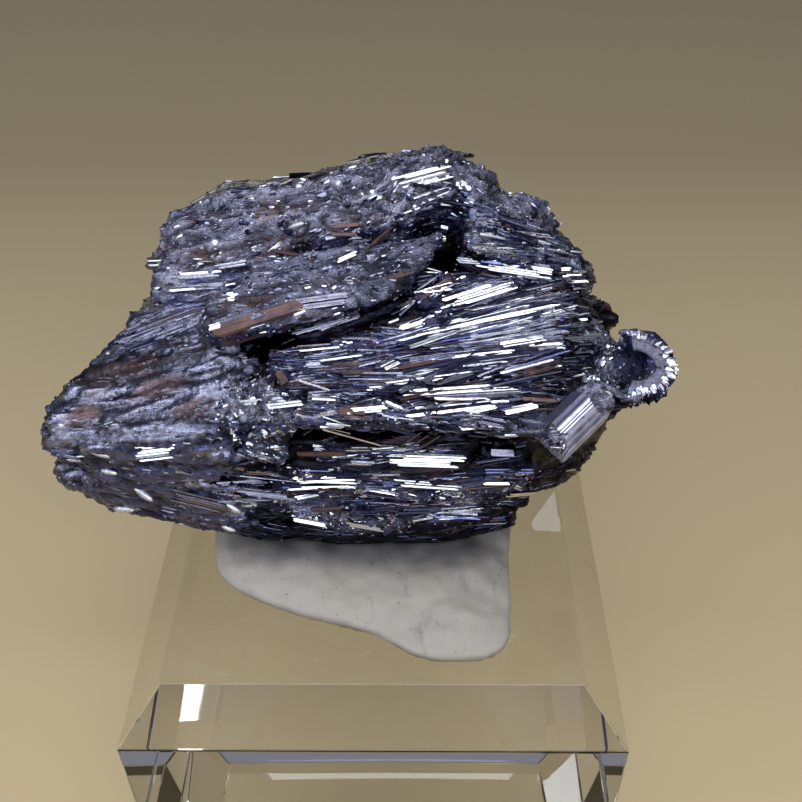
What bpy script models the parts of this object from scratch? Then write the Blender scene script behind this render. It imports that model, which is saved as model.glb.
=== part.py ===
"""Stibnite crystal spray, bedded in putty on a clear display block.

The spray is one intergrown mass: stacked slabs of massive stibnite, sheaves of long flat-faced
blades grown along them, a worn lobe at the left, a hooked shell and a thick stub crystal at the
right.  Every shape is worked out in millimetres; the finished meshes are scaled to metres.

Frame: the origin is the centre of the block's underside, +X runs along the spray's length,
+Y away from its display face and +Z up.
"""

import random
from dataclasses import dataclass
from math import cos, pi, radians, sin

import bmesh
import bpy
from mathutils import Matrix, Vector

MM = 0.001

# Display block: a square slab of clear acrylic with a wide polished chamfer round its top.
BLOCK_SIDE = 50.0
BLOCK_HEIGHT = 20.0
CHAMFER_INSET = 4.3
CHAMFER_DROP = 5.2

# Gap kept between one piece and the next.
SEAT_GAP = 0.3

# Spray: the foot that sits in the putty, and the highest and lowest levels of the mass.
FOOT_LEVEL = 22.6
CROWN_LEVEL = 57.0
GROWTH_SEED = 183
FLATNESS_DEGREES = 1.0
HEART = (0.0, 12.0, 38.0)

# Putty: a flat cake under the spray that shows in front of it.
PUTTY_TOP = 23.8
PUTTY_SOCKET_CLEARANCE = 0.55
PUTTY_SEGMENTS = 28
PUTTY_RINGS = 7
PUTTY_OUTLINE = ((-17.6, -6.5), (-15.9, -9.6), (-12.8, -11.8), (-6.4, -14.4), (0.4, -16.3),
                 (3.4, -18.6), (7, -19.5), (11.8, -19.1), (14, -16.4), (14.4, -7),
                 (15.6, 4), (13, 14), (4, 18.5), (-8, 17.6), (-16.4, 10), (-18.2, 1))


@dataclass(frozen=True)
class Slab:
    """A convex lump: the hull of its top corners and the same corners moved by the drop."""

    top: tuple
    drop: tuple = (0.0, 0.0, 0.0)


@dataclass(frozen=True)
class Lump:
    """A squat faceted knob, such as a rounded crystal end."""

    centre: tuple
    size: tuple


@dataclass(frozen=True)
class Sheaf:
    """Blades side by side, from a root line to a tip line, each line given near end first."""

    root: tuple
    tip: tuple
    count: int
    width: float
    thickness: float
    raggedness: float = 0.12
    taper: float = 0.55


# The heart of the mass, from the foot in the putty to the level of the fan.
CORE = Slab(top=(
    (-12, -3, FOOT_LEVEL), (-4, -5, FOOT_LEVEL), (8, -4.5, FOOT_LEVEL), (12, 0, FOOT_LEVEL),
    (13, 14, FOOT_LEVEL), (6, 22, FOOT_LEVEL), (-8, 22, FOOT_LEVEL), (-14, 12, FOOT_LEVEL),
    (-18, -4.5, 28), (-8, -6.4, 28), (8, -6.4, 28), (15.5, -5, 28), (19, 2, 28), (20, 20, 29),
    (10, 32, 31), (-10, 32, 31), (-20, 20, 29),
    (-19, 4, 44), (-11, -4, 44), (12, -5, 43), (19, -2, 42), (21, 12, 42),
    (12, 31, 43), (-10, 31, 43), (-20, 18, 44)))

SLABS = (
    # Worn lobe: an upper and a lower swelling that part in a notch at the tip.
    Slab(top=((-34.6, -0.8, 34.2), (-34.2, 1.5, 36.2), (-32.4, 3, 37.6), (-30.2, 6.5, 38.6),
              (-27.3, 9.5, 40.2), (-23, 11.5, 42), (-22, -6.2, 38.4), (-29.4, -4.2, 35.4),
              (-12, -8.6, 41.6), (-12, -6, 43.6), (-14, 0, 44.8), (-33.2, -1, 31.8),
              (-28, -5, 31.6), (-15, -8.4, 35), (-31, 7, 31), (-32.4, 3, 31), (-20, 16, 33))),
    Slab(top=((-34, 0, 30.8), (-33.5, -1.6, 29), (-32, -1.5, 27.3), (-28, -4.2, 26.5),
              (-19, -6.3, 26.3), (-13, -7.4, 25.9), (-31, 6, 28.5), (-20, 13, 27.6),
              (-29, -4.8, 31.2), (-14, -8.2, 33.8), (-10, -7.6, 33), (-32, 5, 32))),
    # Flap where the lobe ends over a dark notch.
    Slab(top=((-6.2, -11, 45.4), (-7.6, -10.4, 39.4), (-10, -9.4, 43.6), (-12, -8.6, 38.4),
              (-13, -4, 44.8), (-7, -9, 45.8)), drop=(-1.2, 2.6, -0.6)),
    # Upper back block with its rounded left end.
    Slab(top=((-22.2, 8.4, 45.4), (-23.6, 13, 46.2), (-22.6, 17, 48.4), (-20, 19.5, 49.8),
              (-14.5, 20.5, 51), (-8, 20.5, 52.6), (0, 20, 54), (-17, 9, 48.6), (-6, 9, 50.6),
              (3, 10.5, 51), (8, 18, 53.6), (-19, 30, 44), (6, 31, 46.5)), drop=(0, 1.5, -6)),
    # Crown.
    Slab(top=((1.6, 17.4, 55.4), (3.6, 18.4, 56.5), (6.6, 18.6, CROWN_LEVEL), (9.2, 18.6, 55.8),
              (10.6, 19.4, 54.2), (7, 22, 54.8), (1.6, 22, 53.4), (10.4, 23.6, 51.8),
              (-1, 15, 53.2), (3, 13.6, 53.8), (9.5, 14.4, 53.4), (12, 18, 52.4),
              (6, 26.6, 51.8), (-3, 25, 51.2), (0.4, 27.4, 50.2)), drop=(0.5, 1, -5)),
    # Ridge that falls from the crown to the right.
    Slab(top=((9, 20.5, 54), (13.3, 19.6, 51.8), (16.7, 18.6, 49.4), (20, 16.6, 47),
              (23.2, 12.6, 45.6), (9.3, 10.6, 50.6), (16.5, 7.8, 48.6), (21.5, 8.4, 46.6),
              (12, 29, 46), (20, 24, 42)), drop=(-1, 1, -6)),
    # Bluish plate between the lobe and the upper block.
    Slab(top=((-27.5, 8, 39.8), (-24, 11.5, 41.8), (-21.5, 10, 44), (-15, 7, 46.6),
              (-14, 2, 46), (-20, 4, 42.6)), drop=(1, 3, -4)),
    # Middle ledge, which overhangs a black hollow at its right.
    Slab(top=((-16, 1.6, 49.2), (-14.4, 5, 49.6), (-7, 6.4, 50.6), (2.7, 7.6, 50.8),
              (7.2, 9.4, 51.8), (3.7, 3, 49.8), (0, 0.4, 49.8), (-5.6, -1.4, 49),
              (-14.7, -1.8, 47.8), (-16.6, 0, 47.6)), drop=(-0.4, 1.8, -2.2)),
    Slab(top=((-16, 4, 47), (-5, 4, 47.4), (5, 7, 49), (-15, 11, 47), (5, 13, 49)),
         drop=(0, 1, -5)),
    # Main fan: its lip stands out over the hollow below.
    Slab(top=((-6.4, -11, 44.9), (-1.4, -12, 46.5), (5.4, -12.4, 46.5), (11.6, -11.9, 44.9),
              (15.8, -10.8, 43.2), (20.6, -4.4, 43.6), (20, 1, 44.6), (-9.5, -7.2, 44.6)),
         drop=(0, 2.4, -1.6)),
    Slab(top=((-12.5, -2, 44.8), (-2, -3, 45.8), (12, -5, 45.8), (20.8, -3.4, 43.6),
              (23.6, 3, 44.2), (18.5, 6.4, 47.2), (6.6, 7, 49), (0, 5, 47), (22.6, 9, 44.2)),
         drop=(0, 1.6, -4.4)),
    # Dark plate behind the fan's right end.
    Slab(top=((19, 8, 44.8), (25.9, 8, 42.4), (24.6, 11, 43), (20, 14, 43)), drop=(-2, 1, -3.4)),
    # Web that carries the hooked shell.
    Slab(top=((21.4, 4.6, 42.4), (26.4, 4, 41.4), (28, 0.4, 40.8), (25.2, -2.8, 39.8),
              (21, -3.4, 41)), drop=(-2.4, 0.8, -3.2)),
    # Right buttress under the fan.
    Slab(top=((13.6, -8.4, 42.6), (19.6, -6.6, 42.4), (23.6, -1.6, 41.4), (24.4, 6, 42.4),
              (23.6, -1, 34.4), (19.4, -3.6, 30), (21.2, 0, 27.6), (21.6, 12, 29),
              (14, -7, 31), (20, 15, 43))),
    # Tiers of the display face.
    Slab(top=((-7.4, -9.6, 41.2), (9.2, -10.1, 41.2), (11, -7, 41.6), (-8, -5, 41.8)),
         drop=(0, 0.4, -2.3)),
    Slab(top=((-9, -9.7, 38.4), (4, -10.6, 38.6), (15.2, -9, 38.2), (16.4, -5, 38.6),
              (-9, -4, 38.6)), drop=(-0.4, 0.9, -4.4)),
    Slab(top=((-12, -8.8, 34), (6, -9.2, 34.2), (14.6, -7.9, 33.8), (15, -4, 34),
              (-12, -4, 34)), drop=(0, 1.5, -4.2)),
    Slab(top=((-8, -9.9, 32.2), (-3, -10.3, 32), (2.8, -9.6, 31.2), (3.4, -6, 31.6),
              (-8, -6, 32.2)), drop=(0.6, 1.1, -3.2)),
    Slab(top=((-14, -7.6, 29.6), (-4, -8.7, 29.6), (7, -8.4, 29.4), (14.5, -6.8, 29.6),
              (14, -2, 29.6), (-14, -2, 29.6)), drop=(0.4, 1.8, -4.9)),
    # Back of the mass: three shouldered slabs that step down to the table side.
    Slab(top=((-17, 24, 44.4), (-6, 33.5, 42.6), (4, 35.4, 42.4), (13, 33, 42.6), (19, 24, 42.6),
              (0, 22, 47)), drop=(0, 0.6, -5.2)),
    Slab(top=((-19.4, 22, 38.6), (-11, 33.4, 37.4), (3, 37.4, 36.8), (12, 34.8, 37.2),
              (21.6, 22, 37.6)), drop=(0.6, -1.2, -5)),
    Slab(top=((-21.4, 16, 34), (-13, 29, 33), (5, 34.4, 32.4), (16, 29.6, 33), (22, 14, 33)),
         drop=(0.4, -2.4, -4.6)),
)

# Sheaves of blades.  Near is the side toward the display face.
SHEAVES = (
    # Main fan, in bands from the arched lip up to the ledge.
    Sheaf(root=((-6.6, -10.8, 45.8), (-8.4, -7.4, 46.2)), tip=((6.4, -11.8, 47.1), (7, -8.2, 47.2)),
          count=4, width=1.6, thickness=1.3, raggedness=0.14),
    Sheaf(root=((2, -11.9, 47), (1.6, -8, 47.2)), tip=((16.2, -10.2, 44.2), (19.6, -6.6, 45.2)),
          count=4, width=1.6, thickness=1.3, raggedness=0.14),
    Sheaf(root=((-8.6, -7.6, 46), (-11, -1.6, 46)), tip=((18.4, -6.8, 45), (22.4, -1, 45.2)),
          count=8, width=1.5, thickness=1.8, raggedness=0.2),
    Sheaf(root=((-4, -3.6, 46.8), (-3.4, -0.6, 47.2)), tip=((22, -1.4, 45.4), (23.6, 2.6, 45.4)),
          count=6, width=1.5, thickness=2.0, raggedness=0.22),
    Sheaf(root=((2.4, -0.6, 47.6), (5, 5.4, 50)), tip=((22.8, 2.8, 46), (20.8, 6.6, 48)),
          count=8, width=1.4, thickness=2.0, raggedness=0.18),
    # Long prisms along the middle ledge, and its rough top.
    Sheaf(root=((-15.6, -1.4, 48.2), (-15.8, 1.4, 49.4)), tip=((-1, 0.2, 50), (1.5, 2.8, 50.6)),
          count=3, width=1.9, thickness=1.3, raggedness=0.08),
    Sheaf(root=((-15.4, 2.6, 49.6), (-13, 6.6, 50)), tip=((4.6, 4.6, 50.6), (7.4, 9.2, 52)),
          count=5, width=1.6, thickness=1.4, raggedness=0.2),
    # Upper back block.
    Sheaf(root=((-22.8, 9.4, 46.4), (-22.8, 13, 48)), tip=((-12, 8.6, 49.4), (-8.6, 11, 51)),
          count=4, width=1.7, thickness=1.6, raggedness=0.15),
    Sheaf(root=((-19.6, 13.4, 49.4), (-18.6, 19, 50.6)), tip=((1.6, 11.6, 52.4), (2.2, 18, 54.6)),
          count=7, width=1.6, thickness=2.0, raggedness=0.22),
    Sheaf(root=((-9, 8.6, 50.6), (-10, 12, 51.6)), tip=((6.8, 11, 52.6), (8.6, 14, 54)),
          count=4, width=1.5, thickness=1.5, raggedness=0.2),
    # Ridge at the right of the crown.
    Sheaf(root=((7.2, 8.6, 50.8), (7.8, 18, 54.4)), tip=((22.4, 8.8, 47), (20.4, 17, 48.2)),
          count=7, width=1.6, thickness=1.8, raggedness=0.24),
    # Bluish plate.
    Sheaf(root=((-27.6, 7.6, 40.8), (-25.4, 11.6, 42.8)), tip=((-16, 3.6, 46), (-14, 8, 47.6)),
          count=4, width=1.4, thickness=1.2),
    # Ribs of the worn lobe, which open out from its tip.
    Sheaf(root=((-33.6, 0.6, 36), (-29.4, 6.4, 38.6)), tip=((-11, -4.6, 44.6), (-13.4, 2.6, 46.2)),
          count=5, width=2.2, thickness=1.6, raggedness=0.2, taper=0.8),
    Sheaf(root=((-33.4, -1.9, 32.6), (-33.8, -0.6, 35)), tip=((-10, -9.6, 39.4), (-9.4, -8, 44.2)),
          count=5, width=2.1, thickness=1.4, raggedness=0.2, taper=0.8),
    Sheaf(root=((-32.6, -2, 28.4), (-33.2, -1.6, 31)), tip=((-11.6, -8.2, 27.6), (-10.6, -9, 35)),
          count=5, width=1.9, thickness=1.3, raggedness=0.2, taper=0.8),
    # Tiers of the display face.
    Sheaf(root=((-7.8, -9.7, 39.8), (-7.4, -9.3, 41.2)), tip=((10, -10, 39.8), (10, -9.6, 41.2)),
          count=2, width=1.3, thickness=1.2, raggedness=0.3),
    Sheaf(root=((-8.6, -9.4, 35.2), (-8.6, -9.8, 38.2)), tip=((15.4, -8.8, 35), (15.2, -9, 38)),
          count=4, width=1.3, thickness=1.3, raggedness=0.14),
    Sheaf(root=((-12.4, -8.2, 30.6), (-12, -8.8, 33.6)), tip=((14.8, -7.2, 30.8), (14.4, -7.8, 33.6)),
          count=4, width=1.3, thickness=1.3, raggedness=0.18),
    Sheaf(root=((-13.6, -6.8, 25.6), (-14, -7.8, 29)), tip=((14.2, -5.8, 25.6), (14.6, -6.8, 29)),
          count=4, width=1.4, thickness=1.3, raggedness=0.2),
    # Needles that cross the hollow under the lip.
    Sheaf(root=((-6.6, -9.2, 44.4), (-6, -8.8, 43.4)), tip=((3.8, -8.6, 41.4), (9.6, -8.2, 42.2)),
          count=2, width=0.7, thickness=0.7, raggedness=0.1),
    # Right buttress.
    Sheaf(root=((11, -8.6, 40.4), (12, -7, 33)), tip=((23.2, -2.2, 39.6), (21.6, -2, 31)),
          count=5, width=1.6, thickness=1.5, raggedness=0.16),
    # Back of the mass: bands that step down from the crown and the ridge to the underside.
    Sheaf(root=((-4.6, 21, 52.6), (-3, 26.4, 51)), tip=((11.4, 21.4, 54.2), (11, 26.6, 51.8)),
          count=4, width=1.7, thickness=1.8, raggedness=0.2),
    Sheaf(root=((-19.6, 20.4, 49.8), (-18.4, 26, 46.8)), tip=((5, 22.4, 53), (6, 27.4, 50)),
          count=5, width=1.9, thickness=2.2, raggedness=0.22),
    Sheaf(root=((-17.4, 26.4, 46.4), (-15.4, 33, 42.6)), tip=((8.6, 27.6, 48.8), (12, 34, 42.8)),
          count=6, width=2.0, thickness=2.4, raggedness=0.2),
    Sheaf(root=((5.4, 23.4, 51.2), (4.4, 32.6, 44.6)), tip=((20.4, 20, 47.4), (18.4, 28, 43.4)),
          count=6, width=1.9, thickness=2.2, raggedness=0.22),
    Sheaf(root=((-16.8, 30.4, 38), (-14.6, 33.4, 42.6)), tip=((13.4, 34.4, 38), (14, 32.8, 43)),
          count=4, width=1.9, thickness=2.0, raggedness=0.2),
    Sheaf(root=((-14, 32.2, 33.4), (-15, 32.6, 37.6)), tip=((13, 34.8, 33.4), (13.6, 35.4, 37.4)),
          count=4, width=2.0, thickness=2.0, raggedness=0.22),
    Sheaf(root=((-13, 26, 28.2), (-14, 31, 32.6)), tip=((15, 27, 28.4), (14.6, 32.6, 32.6)),
          count=4, width=2.0, thickness=2.0, raggedness=0.2),
    # Left and right flanks.
    Sheaf(root=((-24, 12.6, 47), (-23, 12, 42)), tip=((-19.6, 31, 43.8), (-18.6, 31.6, 38.8)),
          count=4, width=1.9, thickness=2.0, raggedness=0.16),
    Sheaf(root=((-23.6, 9, 31.4), (-23.4, 10, 42.4)), tip=((-14.8, 29, 31), (-16.4, 29.4, 42.6)),
          count=6, width=2.0, thickness=2.0, raggedness=0.16),
    Sheaf(root=((-26.6, 8.6, 36.6), (-23, 12, 43)), tip=((-17, 24, 38), (-18, 26, 45)),
          count=4, width=1.9, thickness=2.0, raggedness=0.16),
    Sheaf(root=((23.2, 3, 30), (24.4, 5, 41.4)), tip=((18.4, 27, 31), (19.4, 26.6, 41.8)),
          count=6, width=2.0, thickness=2.0, raggedness=0.16),
    Sheaf(root=((23.8, 9.4, 43.6), (21.6, 14, 46.6)), tip=((16.4, 27.8, 42.6), (14.4, 27.6, 47)),
          count=4, width=1.8, thickness=1.8, raggedness=0.16),
)

# Rounded crystal ends on the lobe, the upper block and the crown.
LUMPS = (
    Lump(centre=(-31.4, 0.4, 34.4), size=(6.6, 8.4, 6.8)),
    Lump(centre=(-30.8, 0, 29.8), size=(6.8, 7.6, 6.0)),
    Lump(centre=(-27.6, 2.8, 36.6), size=(11.0, 10.4, 5.8)),
    Lump(centre=(-22.4, -2.8, 36.8), size=(10.0, 7.4, 5.6)),
    Lump(centre=(-24.8, -2.4, 32), size=(10.0, 6.6, 5.0)),
    Lump(centre=(-23.6, -2, 28.9), size=(10.4, 7.6, 4.8)),
    Lump(centre=(-16, -4.8, 30.8), size=(10.0, 6.8, 5.4)),
    Lump(centre=(-20.4, 11.2, 45), size=(6.6, 8.0, 6.0)),
    Lump(centre=(-19.6, 17.4, 47), size=(8.4, 9.0, 6.6)),
    Lump(centre=(-14.4, 19, 49), size=(8.6, 7.4, 5.2)),
    Lump(centre=(-2.6, 18.6, 51.8), size=(9.0, 7.4, 5.6)),
    Lump(centre=(9.8, 18.2, 51.8), size=(7.4, 7.6, 5.8)),
    Lump(centre=(15.6, 17.2, 48.6), size=(7.6, 7.6, 5.6)),
    Lump(centre=(-8.4, -5.6, 45), size=(4.6, 6.4, 5.0)),
)

# Hooked shell at the right end: a round lug with a bowl sunk in its upper face.
HOOK_CENTRE = (25.6, 0.4, 41.9)
HOOK_RADIUS = 3.9
HOOK_DEPTH = 4.0
HOOK_FACING = (0.0, -0.55, 0.84)
HOOK_BOWL_OFFSET = (-1.5, -0.5, 1.7)
HOOK_BOWL_RADIUS = 2.7

# Thick stub crystal that points up to the right, broken square at both ends.
STUB_START = (16.2, -11.4, 42.9)
STUB_END = (21.4, -7.0, 45.5)
STUB_WIDTH = 3.9
STUB_THICKNESS = 3.2
STUB_FACING = (-0.3, -0.75, 0.8)


def along(first, second, share):
    """Returns the point at a share of the way between two points."""
    return Vector(first).lerp(Vector(second), share)


def add_slab(mesh, slab):
    """Adds the closed hull of a slab's corners."""
    corners = [Vector(point) for point in slab.top]
    lower = [point + Vector(slab.drop) for point in corners] if any(slab.drop) else []
    verts = [mesh.verts.new(point) for point in corners + lower]
    hull = bmesh.ops.convex_hull(mesh, input=verts)
    spare = {item for key in ("geom_interior", "geom_unused") for item in hull[key]}
    loose = [item for item in spare if isinstance(item, bmesh.types.BMVert)]
    bmesh.ops.delete(mesh, geom=loose, context="VERTS")


def add_lump(mesh, lump, chance):
    """Adds a knob: a coarse uneven ball pressed to size and turned at random."""
    made = bmesh.ops.create_icosphere(mesh, subdivisions=2, radius=0.5)
    for vert in made["verts"]:
        vert.co *= chance.uniform(0.86, 1.08)
    spin = Matrix.Rotation(chance.uniform(0, 2 * pi), 4, "X")
    size = Matrix.Diagonal((*lump.size, 1.0))
    bmesh.ops.transform(mesh, matrix=Matrix.Translation(lump.centre) @ size @ spin,
                        verts=made["verts"])


def add_blade(mesh, start, end, width, thickness, facing, taper=0.55, slant=0.0, sides=6):
    """Adds a flat prism from start to end whose broad side is turned to the facing direction."""
    axis = (end - start).normalized()
    across = facing.cross(axis).normalized()
    up = axis.cross(across)
    made = bmesh.ops.create_cone(mesh, cap_ends=True, segments=sides, radius1=0.5,
                                 radius2=0.5 * taper, depth=(end - start).length)
    verts = made["verts"]
    flat_up = Matrix.Rotation(2 * pi / sides * ((sides / 4 - 0.5) % 1.0), 3, "Z")
    bmesh.ops.rotate(mesh, cent=(0, 0, 0), matrix=flat_up, verts=verts)
    bmesh.ops.scale(mesh, vec=(width, thickness, 1.0), verts=verts)
    for vert in verts:
        if vert.co.z > 0.0:
            vert.co.z += slant * vert.co.x
    turn = Matrix((across, up, axis)).transposed().to_4x4()
    place = Matrix.Translation((start + end) / 2)
    bmesh.ops.transform(mesh, matrix=place @ turn, verts=verts)


def add_sheaf(mesh, sheaf, chance):
    """Adds the blades of one sheaf, each a little out of line with the next."""
    near_run = Vector(sheaf.tip[0]) - Vector(sheaf.root[0])
    facing = near_run.cross(Vector(sheaf.root[1]) - Vector(sheaf.root[0])).normalized()
    if facing.dot(Vector(sheaf.root[0]) - Vector(HEART)) < 0.0:
        facing.negate()
    for index in range(sheaf.count):
        share = (index + 0.5 + chance.uniform(-0.2, 0.2)) / sheaf.count
        start = along(*sheaf.root, share)
        end = along(*sheaf.tip, min(1.0, max(0.0, share + chance.uniform(-0.06, 0.06))))
        run = end - start
        start += run * chance.uniform(0.0, sheaf.raggedness)
        end -= run * chance.uniform(0.0, sheaf.raggedness)
        lift = facing * chance.uniform(-0.35, 0.3)
        roll = Matrix.Rotation(radians(chance.uniform(-24, 24)), 3, run.normalized())
        add_blade(mesh, start + lift, end + lift,
                  sheaf.width * chance.uniform(0.85, 1.35),
                  sheaf.thickness * chance.uniform(0.85, 1.25), roll @ facing,
                  taper=sheaf.taper * chance.uniform(0.7, 1.3), slant=chance.uniform(-0.7, 0.7),
                  sides=chance.choice((4, 4, 5, 6)))


def add_hook(mesh, chance):
    """Adds the round lug of the hooked shell, its rim notched by short thick teeth."""
    centre = Vector(HOOK_CENTRE)
    facing = Vector(HOOK_FACING).normalized()
    turn = facing.to_track_quat("Z", "Y").to_matrix().to_4x4()
    lug = bmesh.ops.create_cone(mesh, cap_ends=True, segments=16, radius1=HOOK_RADIUS * 0.78,
                                radius2=HOOK_RADIUS, depth=HOOK_DEPTH)
    bmesh.ops.transform(mesh, matrix=Matrix.Translation(centre) @ turn, verts=lug["verts"])
    right = turn.to_3x3() @ Vector((1, 0, 0))
    up = turn.to_3x3() @ Vector((0, 1, 0))
    for tooth in range(9):
        angle = radians(-62 + 15.5 * tooth + chance.uniform(-2, 2))
        out = right * cos(angle) + up * sin(angle)
        reach = HOOK_RADIUS + chance.uniform(0.0, 0.35)
        add_blade(mesh, centre + out * (HOOK_RADIUS - 1.6) + facing * chance.uniform(1.0, 1.3),
                  centre + out * reach + facing * chance.uniform(1.5, 1.8),
                  chance.uniform(1.0, 1.3), chance.uniform(0.9, 1.2), facing, taper=0.75, sides=5)


def new_object(name, mesh, material, cutter=False):
    """Turns a mesh in millimetres into a flat-shaded object in metres."""
    bmesh.ops.recalc_face_normals(mesh, faces=mesh.faces)
    bmesh.ops.scale(mesh, vec=(MM, MM, MM), verts=mesh.verts)
    data = bpy.data.meshes.new(name)
    mesh.to_mesh(data)
    mesh.free()
    if material:
        data.materials.append(material)
    item = bpy.data.objects.new(name, data)
    bpy.context.scene.collection.objects.link(item)
    if cutter:
        item.hide_render = True
        item.display_type = "WIRE"
    return item


def new_material(name, colour, roughness, metallic, transmission=0.0):
    """Makes a Principled material."""
    material = bpy.data.materials.new(name)
    material.use_nodes = True
    shader = material.node_tree.nodes["Principled BSDF"]
    shader.inputs["Base Color"].default_value = (*colour, 1.0)
    shader.inputs["Roughness"].default_value = roughness
    shader.inputs["Metallic"].default_value = metallic
    shader.inputs["Transmission Weight"].default_value = transmission
    return material


def boolean(item, operand, operation, use_self=False):
    """Joins or cuts an object by a second one, which is left out of the model."""
    modifier = item.modifiers.new(operand.name, "BOOLEAN")
    modifier.operation = operation
    modifier.solver = "EXACT"
    modifier.use_self = use_self
    modifier.object = operand


def shells_of(mesh):
    """Returns the connected shells of a mesh, each as a list of its vertices."""
    unseen = set(mesh.verts)
    shells = []
    while unseen:
        shell = [unseen.pop()]
        for vert in shell:
            for edge in vert.link_edges:
                other = edge.other_vert(vert)
                if other in unseen:
                    unseen.remove(other)
                    shell.append(other)
        shells.append(shell)
    return shells


def settle(item):
    """Applies an object's modifiers, drops sealed pockets and joins faces in one plane."""
    settled = bpy.data.meshes.new_from_object(
        item.evaluated_get(bpy.context.evaluated_depsgraph_get()))
    mesh = bmesh.new()
    mesh.from_mesh(settled)
    pockets = sorted(shells_of(mesh), key=len)[:-1]
    bmesh.ops.delete(mesh, geom=[vert for shell in pockets for vert in shell], context="VERTS")
    bmesh.ops.dissolve_limit(mesh, angle_limit=radians(FLATNESS_DEGREES), verts=mesh.verts,
                             edges=mesh.edges)
    mesh.to_mesh(settled)
    mesh.free()
    item.modifiers.clear()
    item.data = settled


def make_spray():
    """Builds the stibnite: core, slabs, sheaves, hook and stub joined in one solid."""
    chance = random.Random(GROWTH_SEED)
    core = bmesh.new()
    add_slab(core, CORE)
    spray = new_object("stibnite_spray", core,
                       new_material("stibnite", (0.23, 0.24, 0.29), 0.28, 1.0))

    growth = bmesh.new()
    for slab in SLABS:
        add_slab(growth, slab)
    for sheaf in SHEAVES:
        add_sheaf(growth, sheaf, chance)
    for lump in LUMPS:
        add_lump(growth, lump, chance)
    add_hook(growth, chance)
    add_blade(growth, Vector(STUB_START), Vector(STUB_END), STUB_WIDTH, STUB_THICKNESS,
              Vector(STUB_FACING).normalized(), taper=0.94, slant=0.25, sides=8)
    boolean(spray, new_object("growth_guide", growth, None, cutter=True), "UNION", use_self=True)

    bowl = bmesh.new()
    made = bmesh.ops.create_icosphere(bowl, subdivisions=2, radius=HOOK_BOWL_RADIUS)
    bmesh.ops.scale(bowl, vec=(1.0, 1.15, 1.0), verts=made["verts"])
    centre = Vector(HOOK_CENTRE) + Vector(HOOK_BOWL_OFFSET)
    bmesh.ops.translate(bowl, vec=centre, verts=made["verts"])
    boolean(spray, new_object("bowl_cutter", bowl, None, cutter=True), "DIFFERENCE")
    settle(spray)
    return spray


def smooth_loop(points, count):
    """Returns evenly stepped points on a closed smooth curve through the given ones."""
    total = len(points)
    loop = []
    for step in range(count):
        place = step * total / count
        index = int(place)
        share = place - index
        before, first, second, after = (Vector(points[(index + shift) % total])
                                        for shift in (-1, 0, 1, 2))
        loop.append(0.5 * (2 * first + (second - before) * share
                           + (2 * before - 5 * first + 4 * second - after) * share ** 2
                           + (3 * first - before - 3 * second + after) * share ** 3))
    return loop


def make_putty():
    """Builds the putty: a round-edged cake with a socket for the foot of the spray."""
    outline = smooth_loop(PUTTY_OUTLINE, PUTTY_SEGMENTS)
    base = BLOCK_HEIGHT + SEAT_GAP
    mesh = bmesh.new()
    bmesh.ops.create_uvsphere(mesh, u_segments=PUTTY_SEGMENTS, v_segments=PUTTY_RINGS, radius=1.0)
    for vert in mesh.verts:
        spread = Vector(vert.co.xy).length ** 0.6
        turn = round(Vector(vert.co.xy).angle_signed(Vector((1, 0)), 0.0)
                     * PUTTY_SEGMENTS / (2 * pi)) % PUTTY_SEGMENTS
        rim = outline[turn] * spread
        level = base + (PUTTY_TOP - base) * max(0.0, 0.35 + 0.65 * vert.co.z)
        vert.co = (*rim, level)
    bmesh.ops.remove_doubles(mesh, verts=mesh.verts, dist=0.02)
    putty = new_object("mounting_putty", mesh, new_material("putty", (0.48, 0.42, 0.36), 0.5, 0.0))

    socket = bmesh.new()
    add_slab(socket, CORE)
    bmesh.ops.recalc_face_normals(socket, faces=socket.faces)
    socket.normal_update()
    for vert in socket.verts:
        vert.co += vert.normal * PUTTY_SOCKET_CLEARANCE
    boolean(putty, new_object("socket_cutter", socket, None, cutter=True), "DIFFERENCE")
    return putty


def make_block():
    """Builds the clear block: a square slab whose top edges are chamfered."""
    mesh = bmesh.new()
    body_height = BLOCK_HEIGHT - CHAMFER_DROP
    bmesh.ops.create_cube(mesh, size=1.0)
    bmesh.ops.scale(mesh, vec=(BLOCK_SIDE, BLOCK_SIDE, body_height), verts=mesh.verts)
    bmesh.ops.translate(mesh, vec=(0, 0, body_height / 2), verts=mesh.verts)
    top = max(mesh.faces, key=lambda face: face.calc_center_median().z)
    raised = bmesh.ops.extrude_discrete_faces(mesh, faces=[top])["faces"][0]
    inset_share = 1.0 - 2.0 * CHAMFER_INSET / BLOCK_SIDE
    rim = list(raised.verts)
    bmesh.ops.scale(mesh, vec=(inset_share, inset_share, 1.0), verts=rim)
    bmesh.ops.translate(mesh, vec=(0, 0, CHAMFER_DROP), verts=rim)
    return new_object("display_block", mesh,
                      new_material("clear_acrylic", (0.95, 0.95, 0.9), 0.03, 0.0, 1.0))


def clear_scene():
    """Removes whatever objects the scene already holds."""
    for item in list(bpy.data.objects):
        bpy.data.objects.remove(item, do_unlink=True)


def main():
    """Builds the spray, its putty and its block."""
    clear_scene()
    make_spray()
    make_putty()
    make_block()


main()
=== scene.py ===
"""Dresses the stibnite crystal spray, its putty and its clear display block.

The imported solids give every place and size.  The spray's skin is remade from its solid, worn and
fibrous where the mineral is, and thousands of crystals are planted on it along the directions in
which the mineral grew.  Places and sizes below are in millimetres unless a name says otherwise.
"""

from __future__ import annotations

import logging
import math
import random
from collections.abc import Callable
from dataclasses import dataclass, field, replace
from enum import Enum

import bmesh
import bpy
import numpy as np
from mathutils import Matrix, Quaternion, Vector, noise
from mathutils.bvhtree import BVHTree


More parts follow.
